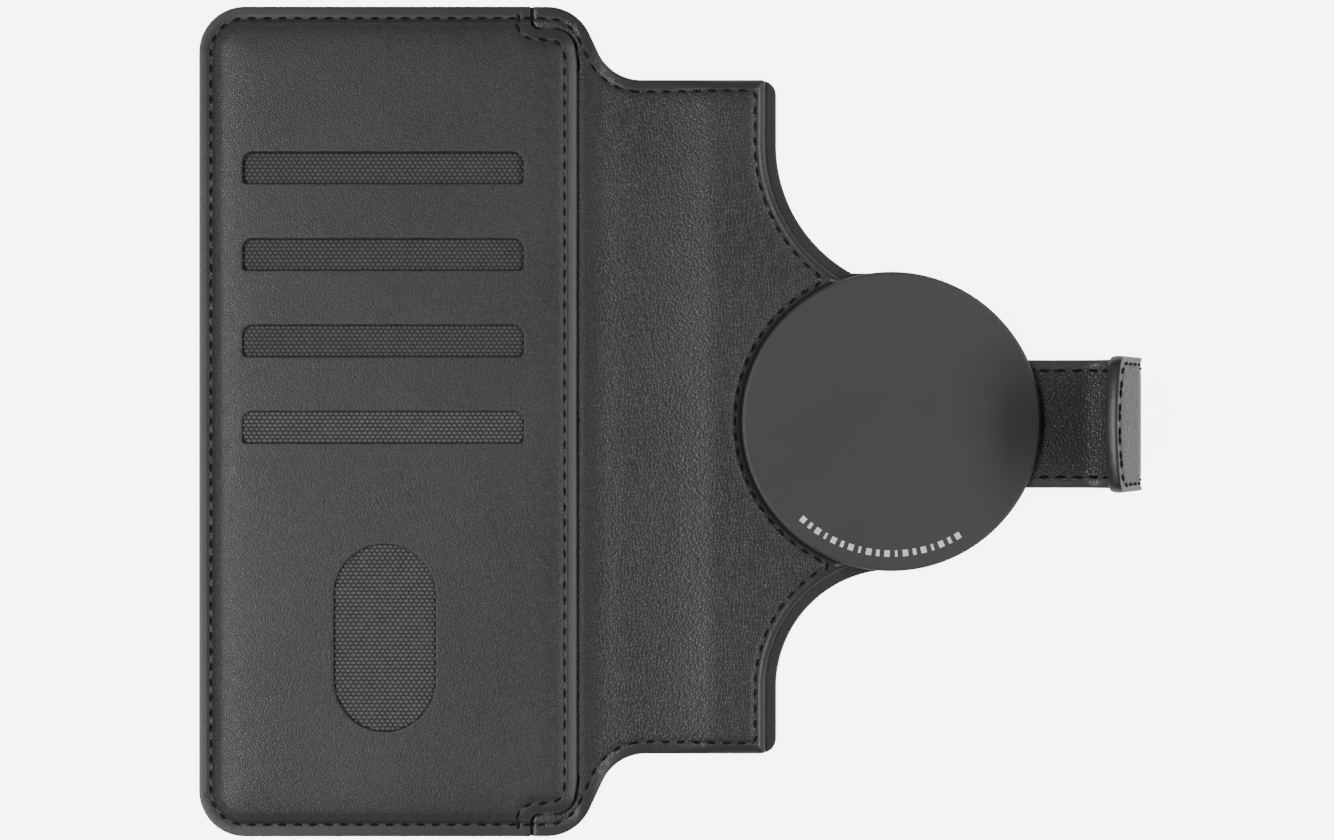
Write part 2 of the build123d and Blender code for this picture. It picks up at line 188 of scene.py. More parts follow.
def outerOutline():
    drop = neckTop[1] - shape["baseRadius"]
    turn = math.degrees(math.asin(drop / shape["neckTopRadius"]))
    line = rimLine(0, 0)
    line += arcPoints(neckBottom, shape["neckBottomRadius"], 180, 90)[1:]
    line += arcPoints((shape["baseX"], 0), shape["baseRadius"], -90, 90)[1:]
    line += arcPoints(neckTop, shape["neckTopRadius"], 180 + turn, 180)[:-1]
    return dense(line, closed=True)


def innerLoop(edgeInset, neckInset, meet):
    # runs inside the outline, and round the disc at the radius meet
    low = circlesMeet(neckBottom, shape["neckBottomRadius"] + neckInset, (0, 0), meet)
    high = circlesMeet(neckTop, shape["neckTopRadius"] + neckInset, (0, 0), meet)
    line = rimLine(edgeInset, neckInset)
    line += neckArc(neckBottom, shape["neckBottomRadius"] + neckInset, low, False)[1:]
    line += arcPoints((0, 0), meet, 360 + angleAt((0, 0), low), angleAt((0, 0), high))[1:]
    line += neckArc(neckTop, shape["neckTopRadius"] + neckInset, high, True)[::-1][1:-1]
    return dense(line, closed=True)


# Distances on the flat.
def distanceTo(points, line, closed=True):
    p = np.asarray(points, float)
    a = np.asarray(line, float)
    b = np.roll(a, -1, axis=0)
    if not closed:
        a, b = a[:-1], b[:-1]
    d = b - a
    size = np.maximum((d * d).sum(1), 1e-12)
    best = np.empty(len(p))
    for i in range(0, len(p), 2000):
        q = p[i:i + 2000, None, :] - a[None]
        t = np.clip((q * d[None]).sum(2) / size[None], 0, 1)
        gap = q - t[..., None] * d[None]
        best[i:i + 2000] = np.sqrt((gap * gap).sum(2)).min(1)
    return best


def inside(points, loop):
    p = np.asarray(points, float)
    a = np.asarray(loop, float)
    b = np.roll(a, -1, axis=0)
    result = np.zeros(len(p), bool)
    rise = np.where(np.abs(b[:, 1] - a[:, 1]) < 1e-12, 1e-12, b[:, 1] - a[:, 1])
    for i in range(0, len(p), 2000):
        x, y = p[i:i + 2000, 0, None], p[i:i + 2000, 1, None]
        crosses = (a[None, :, 1] > y) != (b[None, :, 1] > y)
        reach = a[None, :, 0] + (y - a[None, :, 1]) * (b - a)[None, :, 0] / rise[None]
        result[i:i + 2000] = (crosses & (x < reach)).sum(1) % 2 == 1
    return result


def beside(line, offsets, closed=True):
    # rows of points at set distances from a line, negative to its right
    a = np.asarray(line, float)
    ahead = np.roll(a, -1, axis=0) - np.roll(a, 1, axis=0)
    if not closed:
        ahead[0] = a[1] - a[0]
        ahead[-1] = a[-1] - a[-2]
    ahead /= np.maximum(np.linalg.norm(ahead, axis=1, keepdims=True), 1e-9)
    normal = np.stack([-ahead[:, 1], ahead[:, 0]], axis=1)
    rows = []
    for offset in offsets:
        row = a + normal * offset
        rows.append(row[distanceTo(row, line, closed) > abs(offset) - 0.04])
    return np.concatenate(rows)


def smooth(t):
    t = np.clip(t, 0, 1)
    return t * t * (3 - 2 * t)


def sheetMesh(names, outline, holes=(), rings=(), features=(), spacing=1.2, top=None, bottom=None,
              splits=(), holeRings=(0.12, 0.3, 0.7), edgeRound=0.25):
    # A closed sheet of leather or cloth: a flat triangulation lifted to its top and bottom heights.
    outlineArray = np.asarray(outline, float)
    loops = [outlineArray] + [np.asarray(h, float) for h in holes]
    loose = []
    for offset in rings:
        loose.append(beside(outline, [offset]))
        loose.append(beside(outline, [-offset]))
    for hole in loops[1:]:
        for offset in holeRings:
            loose.append(beside(hole, [offset, -offset]))
    for line, offsets, closed in features:
        loose.append(beside(line, offsets, closed))
    low, high = outlineArray.min(0), outlineArray.max(0)
    xs = np.arange(low[0] + spacing / 2, high[0], spacing)
    ys = np.arange(low[1] + spacing / 2, high[1], spacing)
    grid = np.stack(np.meshgrid(xs, ys), axis=2).reshape(-1, 2)
    if loose:
        rows = np.concatenate(loose)
        # the grid keeps clear of the finer rows
        cell = spacing * 0.5
        taken = {(int(x // cell), int(y // cell)) for x, y in rows}
        grid = np.array([g for g in grid if (int(g[0] // cell), int(g[1] // cell)) not in taken])
        grid = np.concatenate([rows, grid])
    keep = inside(grid, outline) & (distanceTo(grid, outline) > 0.05)
    for hole in loops[1:]:
        keep &= ~inside(grid, hole) & (distanceTo(grid, hole) > 0.05)
    for x in splits:
        keep &= np.abs(grid[:, 0] - x) > 0.2
    grid = grid[keep]
    # one point to a cell, so that rows which meet don't crowd
    seen = set()
    chosen = []
    for g in grid:
        key = (int(g[0] // 0.09), int(g[1] // 0.09))
        if key not in seen:
            seen.add(key)
            chosen.append(g)
    points = [tuple(p) for loop in loops for p in loop]
    edges = []
    start = 0
    for loop in loops:
        edges += [(start + k, start + (k + 1) % len(loop)) for k in range(len(loop))]
        start += len(loop)
    for x in splits:
        count = int((high[1] - low[1]) / 0.6)
        column = [(x, y) for y in np.linspace(low[1] - 1, high[1] + 1, count)]
        first = len(points)
        points += column
        edges += [(first + k, first + k + 1) for k in range(count - 1)]
    points += [tuple(p) for p in chosen]
    faces = [list(range(len(loops[0])))]
    coords, _, triangles, *_ = delaunay_2d_cdt([Vector(p) for p in points], edges, faces, 0, 1e-5, False)
    xy = np.array([(c.x, c.y) for c in coords])
    tris = np.array(triangles)
    middle = xy[tris].mean(1)
    keep = inside(middle, outline)
    for hole in loops[1:]:
        keep &= ~inside(middle, hole)
    tris, middle = tris[keep], middle[keep]
    edgeDistance = distanceTo(xy, outline)
    cutDistance = edgeDistance.copy()
    for hole in loops[1:]:
        cutDistance = np.minimum(cutDistance, distanceTo(xy, hole))
    topZ = top(xy, edgeDistance)
    bottomZ = bottom(xy, edgeDistance, topZ)
    past = np.clip(edgeRound - cutDistance, 0, None)
    rounded = edgeRound - np.sqrt(np.maximum(edgeRound**2 - past**2, 0))
    topZ = topZ - rounded
    bottomZ = np.minimum(bottomZ + 0.6 * rounded, topZ - 0.05)
    bounds = [-1e9, *splits, 1e9]
    made = []
    for name, lower, upper in zip(names, bounds, bounds[1:]):
        part = tris[(middle[:, 0] > lower) & (middle[:, 0] < upper)]
        used, inverse = np.unique(part, return_inverse=True)
        part = inverse.reshape(-1, 3)
        flat = xy[used]
        a, b, c = flat[part[:, 0]], flat[part[:, 1]], flat[part[:, 2]]
        turned = (b - a)[:, 0] * (c - a)[:, 1] - (b - a)[:, 1] * (c - a)[:, 0] < 0
        part[turned] = part[turned][:, ::-1]
        n = len(used)
        verts = np.concatenate([np.column_stack([flat, topZ[used]]), np.column_stack([flat, bottomZ[used]])])
        directed = np.concatenate([part[:, [0, 1]], part[:, [1, 2]], part[:, [2, 0]]])
        known = {(int(i), int(j)) for i, j in directed}
        walls = [(j, i, i + n, j + n) for i, j in known if (j, i) not in known]
        allFaces = [tuple(map(int, t)) for t in part]
        allFaces += [(int(t[2]) + n, int(t[1]) + n, int(t[0]) + n) for t in part]
        allFaces += walls
        mesh = bpy.data.meshes.new(name)
        mesh.from_pydata([tuple(v * mm) for v in verts], [], allFaces)
        mesh.update()
        for key, values in (("edge", edgeDistance), ("cut", cutDistance)):
            addValues(mesh, key, np.tile(values[used], 2))
        shadeSmooth(mesh, 55)
        made.append(newPiece(name, mesh))
    print("  ", ", ".join(f"{p.name} {len(p.data.polygons)} faces" for p in made))
    return made


# Mesh and node helpers.
def newPiece(name, data):
    piece = bpy.data.objects.new(name, data)
    bpy.context.scene.collection.objects.link(piece)
    return piece


def addValues(mesh, key, values, kind="FLOAT"):
    attribute = mesh.attributes.new(key, kind, "POINT")
    field = "value" if kind == "FLOAT" else "vector"
    attribute.data.foreach_set(field, np.array(values, np.float32).ravel())


def shadeSmooth(mesh, sharpAngle):
    mesh.polygons.foreach_set("use_smooth", [True] * len(mesh.polygons))
    mesh.set_sharp_from_angle(angle=math.radians(sharpAngle))


def newGroup(name, kind, inputs, outputs):
    # inputs: name to default, or to its kind where it has none
    tree = bpy.data.node_groups.new(name, kind)
    for label, default in inputs.items():
        typeName = default if isinstance(default, str) else {int: "Int", float: "Float"}[type(default)]
        socket = tree.interface.new_socket(label, in_out="INPUT", socket_type="NodeSocket" + typeName)
        if typeName != default:
            socket.default_value = default
    for label in outputs:
        typeName = "Geometry" if label == "Geometry" else "Float"
        tree.interface.new_socket(label, in_out="OUTPUT", socket_type="NodeSocket" + typeName)
    return tree, tree.nodes.new("NodeGroupInput").outputs, tree.nodes.new("NodeGroupOutput").inputs


def wire(tree, value, socket):
    if isinstance(value, bpy.types.Node):
        value = value.outputs[0]
    if isinstance(value, bpy.types.NodeSocket):
        tree.links.new(value, socket)
    else:
        socket.default_value = value


def addNode(tree, kind, settings=None, **values):
    node = tree.nodes.new(kind)
    for key, value in (settings or {}).items():
        setattr(node, key, value)
    for key, value in values.items():
        wire(tree, value, node.inputs[key.replace("_", " ")])
    return node


signs = {"+": "ADD", "-": "SUBTRACT", "*": "MULTIPLY", "/": "DIVIDE", "*+": "MULTIPLY_ADD"}


def calc(tree, operation, *values, clamp=False):
    settings = {"operation": signs.get(operation, operation), "use_clamp": clamp}
    node = addNode(tree, "ShaderNodeMath", settings)
    for index, value in enumerate(values):
        wire(tree, value, node.inputs[index])
    return node.outputs[0]


def mixColour(tree, factor, a, b, blend="MIX"):
    node = addNode(tree, "ShaderNodeMix", {"data_type": "RGBA", "blend_type": blend})
    for index, value in ((0, factor), (6, a), (7, b)):
        wire(tree, value, node.inputs[index])
    return node.outputs[2]


def remap(tree, *values):
    # value, from low, from high, to low, to high
    node = addNode(tree, "ShaderNodeMapRange", {"interpolation_type": "SMOOTHSTEP"})
    for index, value in enumerate(values):
        wire(tree, value, node.inputs[index])
    return node.outputs[0]


def noise(tree, place, scale, detail):
    return addNode(tree, "ShaderNodeTexNoise", Vector=place, Scale=scale, Detail=detail).outputs["Fac"]


def addBump(tree, shader, height, distance):
    bump = addNode(tree, "ShaderNodeBump", Height=height, Distance=distance, Strength=1.0)
    wire(tree, bump, shader.inputs["Normal"])


def useGroup(tree, group, **values):
    node = tree.nodes.new("ShaderNodeGroup")
    node.node_tree = group
    for key, value in values.items():
        wire(tree, value, node.inputs[key.replace("_", " ")])
    return node


def grey(value):
    return (value, value, value, 1.0)


# Pebbled artificial leather: flat-topped pebbles between narrow creases, with softer folds under them.
def makePebbleGroup():
    tree, given, result = newGroup("pebbleGrain", "ShaderNodeTree",
                                   {"Vector": "Vector", "Pebble Size": 0.8, "Smooth": 0.0},
                                   ["Height", "Crease", "Mottle"])
    scale = calc(tree, "/", 1000.0, given["Pebble Size"])
    drift = addNode(tree, "ShaderNodeTexNoise", Vector=given["Vector"], Scale=420.0, Detail=2.0)
    away = addNode(tree, "ShaderNodeVectorMath", {"operation": "SUBTRACT"})
    moved = addNode(tree, "ShaderNodeVectorMath", {"operation": "MULTIPLY_ADD"})
    for value, socket in ((drift.outputs["Color"], away.inputs[0]), ((0.5,) * 3, away.inputs[1]),
                          (away, moved.inputs[0]), ((0.0009,) * 3, moved.inputs[1]),
                          (given["Vector"], moved.inputs[2])):
        wire(tree, value, socket)
    cells = addNode(tree, "ShaderNodeTexVoronoi", {"feature": "DISTANCE_TO_EDGE"}, Vector=moved, Scale=scale)
    domes = addNode(tree, "ShaderNodeTexVoronoi", {"feature": "SMOOTH_F1"}, Vector=moved, Scale=scale,
                    Smoothness=0.35)
    flatTop = remap(tree, cells.outputs["Distance"], 0.0, 0.22)
    dome = calc(tree, "-", 1.0, domes.outputs["Distance"])
    fine = noise(tree, given["Vector"], 5200.0, 2.0)
    both = calc(tree, "*+", dome, 0.7, calc(tree, "*", flatTop, 0.5))
    pebbles = calc(tree, "*+", fine, 0.14, both)
    kept = calc(tree, "-", 1.0, given["Smooth"])
    wire(tree, calc(tree, "*", pebbles, kept), result["Height"])
    crease = calc(tree, "*", calc(tree, "-", 1.0, flatTop), kept)
    wire(tree, crease, result["Crease"])
    mottle = noise(tree, given["Vector"], 38.0, 3.0)
    wire(tree, mottle, result["Mottle"])
    return tree


# Handling wear: a mask along edges, broken up, and light dust specks scattered at random.
def makeWearGroup():
    tree, given, result = newGroup("edgeWear", "ShaderNodeTree",
                                   {"Vector": "Vector", "Edge Distance": 1.0, "Width": 0.4}, ["Wear", "Dust"])
    near = remap(tree, given["Edge Distance"], 0.0, given["Width"], 1.0, 0.0)
    rub = noise(tree, given["Vector"], 260.0, 4.0)
    wire(tree, calc(tree, "*", near, remap(tree, rub, 0.35, 0.65)), result["Wear"])
    specks = noise(tree, given["Vector"], 1800.0, 2.0)
    wire(tree, remap(tree, specks, 0.66, 0.78), result["Dust"])
    return tree


pebbleGroup = makePebbleGroup()
wearGroup = makeWearGroup()


def startMaterial(name):
    material = bpy.data.materials.new(name)
    material.use_nodes = True
    tree = material.node_tree
    shader = tree.nodes["Principled BSDF"]
    place = tree.nodes.new("ShaderNodeTexCoord").outputs["Object"]
    return material, tree, shader, place


def attributeOf(tree, name):
    node = tree.nodes.new("ShaderNodeAttribute")
    node.attribute_name = name
    return node.outputs["Fac"]


leatherLook = {
    "colour": 0.028,
    "creaseColour": 0.013,
    "wearColour": 0.060,
    "paintedShadeColour": 0.006,    # painted shade in the gap beside the panel and along the hinge groove
    "pebbleSize": 0.46,      # millimetres from pebble to pebble
    "bumpHeight": 0.000044,
    "roughness": 0.31,
    "borderFrom": 1.5,       # the pressed border beside each edge is smooth
    "borderTo": 2.3,
}

liningGrain = {"pebbleSize": 0.64, "bumpHeight": 0.00006, "roughness": 0.27}
# painted light: the strap and the tab use a paler copy of the same leather, its colour raised to stand in for
# light
strapGrainAndLitColour = {"pebbleSize": 0.62, "bumpHeight": 0.00016, "colour": 0.037, "borderFrom": 1.2, "borderTo": 2.0}


def makeLeather(name, look):
    material, tree, shader, place = startMaterial(name)
    edge = attributeOf(tree, "edge")
    cut = attributeOf(tree, "cut")
    pressed = remap(tree, edge, look["borderFrom"], look["borderTo"], 0.82, 0.0)
    grain = useGroup(tree, pebbleGroup, Vector=place, Pebble_Size=look["pebbleSize"], Smooth=pressed)
    wear = useGroup(tree, wearGroup, Vector=place, Edge_Distance=cut, Width=0.45)
    base = mixColour(tree, calc(tree, "*", grain.outputs["Crease"], 0.75), grey(look["colour"]),
                     grey(look["creaseColour"]))
    tone = remap(tree, grain.outputs["Mottle"], 0.3, 0.7, 0.90, 1.10)
    toned = mixColour(tree, 1.0, base, tone, "MULTIPLY")
    worn = mixColour(tree, calc(tree, "*", wear.outputs["Wear"], 0.5), toned, grey(look["wearColour"]))
    dusty = mixColour(tree, calc(tree, "*", wear.outputs["Dust"], 0.05), worn, grey(0.3))
    # painted shade: the "shade" attribute, set only on the lining, darkens the colour in the gap beside the panel
    # and along the hinge groove
    shade = attributeOf(tree, "shade")
    wire(tree, mixColour(tree, shade, dusty, grey(look["paintedShadeColour"])), shader.inputs["Base Color"])
    rough = calc(tree, "*+", grain.outputs["Crease"], 0.12, look["roughness"])
    rough = calc(tree, "*+", shade, 0.3, rough)
    rough = calc(tree, "*+", grain.outputs["Mottle"], 0.08, rough, clamp=True)
    wire(tree, rough, shader.inputs["Roughness"])
    addBump(tree, shader, grain.outputs["Height"], look["bumpHeight"])
    shader.inputs["Specular IOR Level"].default_value = 0.42
    return material


threadLook = {"colour": 0.0032, "roughness": 0.72, "twists": 1500.0}


def makeThread():
    material, tree, shader, place = startMaterial("blackThread")
    twist = addNode(tree, "ShaderNodeTexWave", {"bands_direction": "DIAGONAL"}, Vector=place,
                    Scale=threadLook["twists"], Distortion=1.5)
    fibre = noise(tree, place, 6000.0, 2.0)
    shade = calc(tree, "*+", twist.outputs["Fac"], 0.6, calc(tree, "*", fibre, 0.6))
    colour = threadLook["colour"]
    wire(tree, mixColour(tree, shade, grey(colour * 0.6), grey(colour * 1.7)), shader.inputs["Base Color"])
    addBump(tree, shader, twist.outputs["Fac"], 0.00008)
    rough = calc(tree, "*+", fibre, 0.2, threadLook["roughness"] - 0.1)
    wire(tree, rough, shader.inputs["Roughness"])
    shader.inputs["Specular IOR Level"].default_value = 0.2
    return material


clothLook = {
    "colour": 0.050,
    "deep": 0.010,         # the shaded ground between the floats
    "frontLitShare": 1.45,    # painted light: the front pocket's weave lies nearest the panel's face and gets less shade, so it is a paler copy of the same weave
    "roughness": 0.70,
}


def makeCloth(name, colour):
    material, tree, shader, place = startMaterial(name)
    fibre = noise(tree, place, 4200.0, 3.0)
    streak = noise(tree, place, 300.0, 2.0)
    shade = calc(tree, "*+", fibre, 0.6, calc(tree, "*", streak, 0.5))
    wire(tree, mixColour(tree, shade, grey(colour * 0.7), grey(colour * 1.45)), shader.inputs["Base Color"])
    addBump(tree, shader, fibre, 0.00005)
    wire(tree, calc(tree, "*+", fibre, 0.15, clothLook["roughness"]), shader.inputs["Roughness"])
    shader.inputs["Sheen Weight"].default_value = 0.2
    shader.inputs["Sheen Roughness"].default_value = 0.5
    return material


def makeSolid(name, colour, rough, variation=0.12, scale=120.0, bumpHeight=0.00003, metallic=0.0,
              grain=2200.0):
    # boards, films, plastics, inks and metals: a toned colour, fine grain and uneven gloss
    material, tree, shader, place = startMaterial(name)
    broad = noise(tree, place, scale, 4.0)
    fine = noise(tree, place, grain, 3.0)
    low = tuple(c * (1 - variation) for c in colour) + (1.0,)
    high = tuple(min(1.0, c * (1 + variation)) for c in colour) + (1.0,)
    wire(tree, mixColour(tree, remap(tree, broad, 0.3, 0.7), low, high), shader.inputs["Base Color"])
    wire(tree, calc(tree, "*+", broad, 0.10, rough - 0.05, clamp=True), shader.inputs["Roughness"])
    addBump(tree, shader, fine, bumpHeight)
    shader.inputs["Metallic"].default_value = metallic
    return material


materials = {
    "leather": makeLeather("grainedLeather", leatherLook),
    "liningLeather": makeLeather("liningLeather", {**leatherLook, **liningGrain}),
    "strapLeather": makeLeather("strapLeather", {**leatherLook, **strapGrainAndLitColour}),
    "thread": makeThread(),
    "cloth": makeCloth("pocketCloth", clothLook["deep"]),
    "weave": makeCloth("pocketWeave", clothLook["colour"]),
    "litFrontWeave": makeCloth("pocketWeaveLit", clothLook["colour"] * clothLook["frontLitShare"]),
    "film": makeSolid("discFilm", (0.031, 0.031, 0.032), 0.50, 0.05, 45.0, 0.00002, grain=2600.0),
    "plastic": makeSolid("discPlastic", (0.032, 0.032, 0.033), 0.42, 0.08, 150.0),
    "ink": makeSolid("printInk", (0.62, 0.62, 0.62), 0.6, 0.06, 900.0),
    "paint": makeSolid("edgePaint", (0.016, 0.016, 0.018), 0.36, 0.2, 90.0, 0.00004, grain=700.0),
    "board": makeSolid("greyBoard", (0.30, 0.28, 0.25), 0.85, 0.15, 300.0, 0.00008),
    "steel": makeSolid("rolledSteel", (0.48, 0.48, 0.50), 0.38, 0.08, 60.0, metallic=1.0),
    "nickel": makeSolid("nickelPlate", (0.62, 0.60, 0.57), 0.25, 0.06, 200.0, metallic=1.0),
    "webbing": makeCloth("webbing", 0.045),
}
print("materials:", len(materials))


def dress(piece, material):
    piece.data.materials.clear()
    piece.data.materials.append(materials[material])


def cutAway(loop, x):
    # the stretch of a closed outline to the right of x
    out = []
    for a, b in zip(loop, loop[1:] + loop[:1]):
        if a[0] >= x:
            out.append(a)
        if (a[0] >= x) != (b[0] >= x):
            t = (x - a[0]) / (b[0] - a[0])
            out.append((x, a[1] + t * (b[1] - a[1])))
    return dense(out, closed=True)


def waves(xy, size, height, seed=0.0):
    # gentle unevenness of a hand-laid sheet
    x, y = xy[:, 0] / size, xy[:, 1] / size
    total = np.sin(1.7 * x + 0.9 * y + seed) + np.sin(-1.1 * x + 1.9 * y + 2.3 * seed + 1.0)
    total += 0.6 * np.sin(3.1 * x - 2.3 * y + 0.7 * seed) + 0.5 * np.sin(2.2 * x + 4.1 * y - seed)
    return height * total / 3.1


outline = outerOutline()
seam = innerLoop(shape["seamInset"], shape["neckSeamInset"], shape["discSeamRadius"])
lining = innerLoop(0, shape["liningEdge"], shape["baseRadius"] - 1.0)
seamValley = {"depth": 0.22, "width": 0.38}


def valley(distance, look=seamValley):
    return look["depth"] * np.exp(-(distance / look["width"]) ** 2)


# The outer leather, one sheet that bends at both folds.
outerLook = {"spacing": 1.6, "thickness": 0.8}


def outerTop(xy, edge):
    return np.full(len(xy), outerLook["thickness"]) - 0.3 * valley(distanceTo(xy, seam))


def outerBottom(xy, edge, top):
    return 0.55 * valley(distanceTo(xy, seam))


coverSide, wingSide = sheetMesh(["outer_leather_cover_side", "outer_leather_wing_side"], outline,
                                rings=(0.12, 0.3, 0.8), features=[(seam, (0, 0.35, -0.35, 0.8, -0.8), True)],
                                spacing=outerLook["spacing"], top=outerTop, bottom=outerBottom,
                                splits=(shape["splitX"],))


def foldWith(piece, fold, a, b):
    # the leather turns from a to b within a short reach each side of the fold
    hinge = hinges[fold]
    reach = shape["foldReach"]
    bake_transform(piece, a, b, start=((hinge.x - reach) * mm, 0, hinge.z * mm),
             end=((hinge.x + reach) * mm, 0, hinge.z * mm))


foldWith(coverSide, "cover_fold", "cover", "spine")
foldWith(wingSide, "spine_fold", "spine", "wing")
dress(coverSide, "leather")
dress(wingSide, "leather")
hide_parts("cover_outer_leather")
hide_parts("spine_outer_leather", "wing_outer_leather")

# The card panel: one sheet stretched over the pockets, with four windows and a thumb window.
panelLook = {
    "spacing": 1.2,
    "notchX": -72.5,
    "notchDrop": 4.85,
    "notchInner": 2.0,
    "notchOuter": 4.2,
    "lean": 1.0,
    "leanDrop": 6.5,
    "leanEase": 10.0,
    "rim": 1.6,
    "wallEnd": 4.0,
    "wallTop": 2.7,
    "top": 3.6,
    "slope": 3.2,
    "seamInset": 2.5,
    "seamCorner": 3.4,
    "seamDrop": 2.15,
    "windowX": -101.95,
    "windowWidth": 56.5,
    "windowHeight": 6.3,
    "windowTops": (54.1, 36.7, 19.35, 2.0),
    "windowRounds": (2.1, 0.8, 0.8, 2.1),
    "thumbCentre": (-101.6, -43.45),
    "thumbSize": (20.4, 37.5),
}
coverLeft, coverHalf = coverLow.x, coverHigh.y
notchY = coverHalf - panelLook["notchDrop"]
panelRight = panelHigh.x


def panelEdges():
    look = panelLook
    turn = notchY - look["leanDrop"]
    upper = roundedLine([(panelRight, 0), (panelRight, turn), (panelRight - look["lean"], notchY),
                         (look["notchX"], notchY), (look["notchX"], coverHalf)],
                        [look["leanEase"], look["notchOuter"], look["notchInner"]])
    right = [(x, -y) for x, y in reversed(upper)] + upper[1:]
    corner = shape["coverCorner"]
    outer = roundedLine([(look["notchX"], coverHalf), (coverLeft, coverHalf), (coverLeft, -coverHalf),
                         (look["notchX"], -coverHalf)], [corner, corner])
    return right, outer


panelRightLine, panelOuterLine = panelEdges()

# The lining: flat over the hinge and the spine, a soft ramp up to the wing, and down again at its rim.
liningLook = {
    "spacing": 1.2,
    "left": -72.3,
    "trough": ((-64.2, 1.5), (-63.4, 1.55), (-62.5, 1.75), (-61.6, 1.58), (-60.3, 1.28),
               (-59.0, 1.08), (-57.6, 1.06), (-55.8, 1.18), (-54.0, 1.3)),
    "raised": 2.95,
    "rim": 1.5,
    "rimRise": 1.35,
    "rampStart": -54.0,
    "rampEnd": -33.4,
    "rampTurn": 0.83,     # where along the ramp it is steepest
    "rampPower": 2.4,
    "gapDepth": 0.6,      # the dark gap beside the panel's edge
    "gapWidth": 0.5,
    "shadeX": -60.7,      # painted shade along the hinge groove, darkest here
    "shadeWidth": 1.7,
    "shadeShare": 0.55,
    "creaseX": -33.0,
    "creaseDepth": 0.05,
}


def liningHeight(x):
    look = liningLook
    t = np.clip((x - look["rampStart"]) / (look["rampEnd"] - look["rampStart"]), 0, 1)
    turn = look["rampTurn"]
    power = look["rampPower"]
    share = np.where(t < turn, turn * (t / turn) ** power, 1 - (1 - t) ** 2 / (1 - turn))
    trough = np.interp(x, *zip(*look["trough"]))
    crease = look["creaseDepth"] * np.exp(-((x - look["creaseX"]) / 0.8) ** 2)
    return trough + (look["raised"] - look["trough"][-1][1]) * share - crease


def liningTop(xy, edge):
    look = liningLook
    z = liningHeight(xy[:, 0]) + waves(xy, 9.0, 0.05)
    z = look["rim"] + (z - look["rim"]) * (1 - np.exp(-edge / look["rimRise"]))
    z -= valley(distanceTo(xy, seam))
    gap = look["gapDepth"] * np.exp(-(distanceTo(xy, panelRightLine, closed=False) / look["gapWidth"]) ** 2)
    z = np.maximum(z - gap, 0.92)
    under = np.hypot(xy[:, 0], xy[:, 1]) < filmHigh.x - 0.2
    return np.where(under, np.minimum(z, 2.74), z)


def liningBottom(xy, edge, top):
    return np.maximum(top - 0.8, 0.82)


liningPieces = sheetMesh(["lining_cover_side", "lining_wing_side"], cutAway(lining, liningLook["left"]),
                         rings=(0.12, 0.3, 0.8, 1.6),
                         features=[(seam, (0, 0.3, -0.3, 0.7, -0.7), True),
                                   (panelRightLine, (0, 0.25, -0.25, 0.5, -0.5, 0.85, -0.85), False)],
                         spacing=liningLook["spacing"], top=liningTop, bottom=liningBottom,
                         splits=(shape["splitX"],))
foldWith(liningPieces[0], "cover_fold", "cover", "spine")
foldWith(liningPieces[1], "spine_fold", "spine", "wing")


def paintFoldShade(piece):
    # paints shade into the gap beside the panel and along the hinge groove
    look = liningLook
    flat = np.array([tuple(v.co / mm)[:2] for v in piece.data.vertices])
    gap = np.exp(-(distanceTo(flat, panelRightLine, closed=False) / look["gapWidth"]) ** 2)
    paintedHingeShade = look["shadeShare"] * np.exp(-((flat[:, 0] - look["shadeX"]) / look["shadeWidth"]) ** 2)
    addValues(piece.data, "shade", np.maximum(gap, paintedHingeShade))


for piece in liningPieces:
    paintFoldShade(piece)
    dress(piece, "liningLeather")
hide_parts("cover_hinge_lining")
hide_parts("spine_lining_leather", "wing_lining_leather")

def windowLoop(topY):
    look = panelLook
    left = look["windowX"] - look["windowWidth"] / 2
    right = left + look["windowWidth"]
    low = topY - look["windowHeight"]
    middle = look["windowX"]
    points = [(middle, topY), (left, topY), (left, low), (right, low), (right, topY), (middle, topY)]
    line = roundedLine(points, look["windowRounds"], 0.3)
    return dense(line[:-1], closed=True)


def thumbLoop():
    (x, y), (width, length) = panelLook["thumbCentre"], panelLook["thumbSize"]
    radius = width / 2
    reach = length / 2 - radius
    line = arcPoints((x, y + reach), radius, 0, 180) + arcPoints((x, y - reach), radius, 180, 360)
    return dense(line, closed=True)


panelOutline = dense(panelRightLine + panelOuterLine[1:-1], closed=True)
panelHoles = [windowLoop(topY) for topY in panelLook["windowTops"]] + [thumbLoop()]


def panelSeamLine():
    look = panelLook
    x = panelRight - look["seamInset"]
    y = notchY - look["seamDrop"]
    left = look["notchX"] - 2.4
    corner = look["seamCorner"]
    end = coverHalf - 1.9
    upper = [(left, end), (left, y + 1.2), (left + 3.0, y), (x, y)]
    lower = [(a, -b) for a, b in reversed(upper)]
    return dense(roundedLine(upper + lower, [1.5, 1.5, corner, corner, 1.5, 1.5]))


panelSeam = panelSeamLine()
wallProfile = ((0, 1.6), (2.8, 1.6), (3.1, 1.75), (3.7, 2.42), (panelLook["wallEnd"], panelLook["wallTop"]))
rimProfile = ((0, 2.25), (0.5, 2.45), (2.1, 2.95), (2.5, 2.86),
              (3.0, 3.08), (4.4, 3.4), (6.5, 3.58), (9, 3.6))


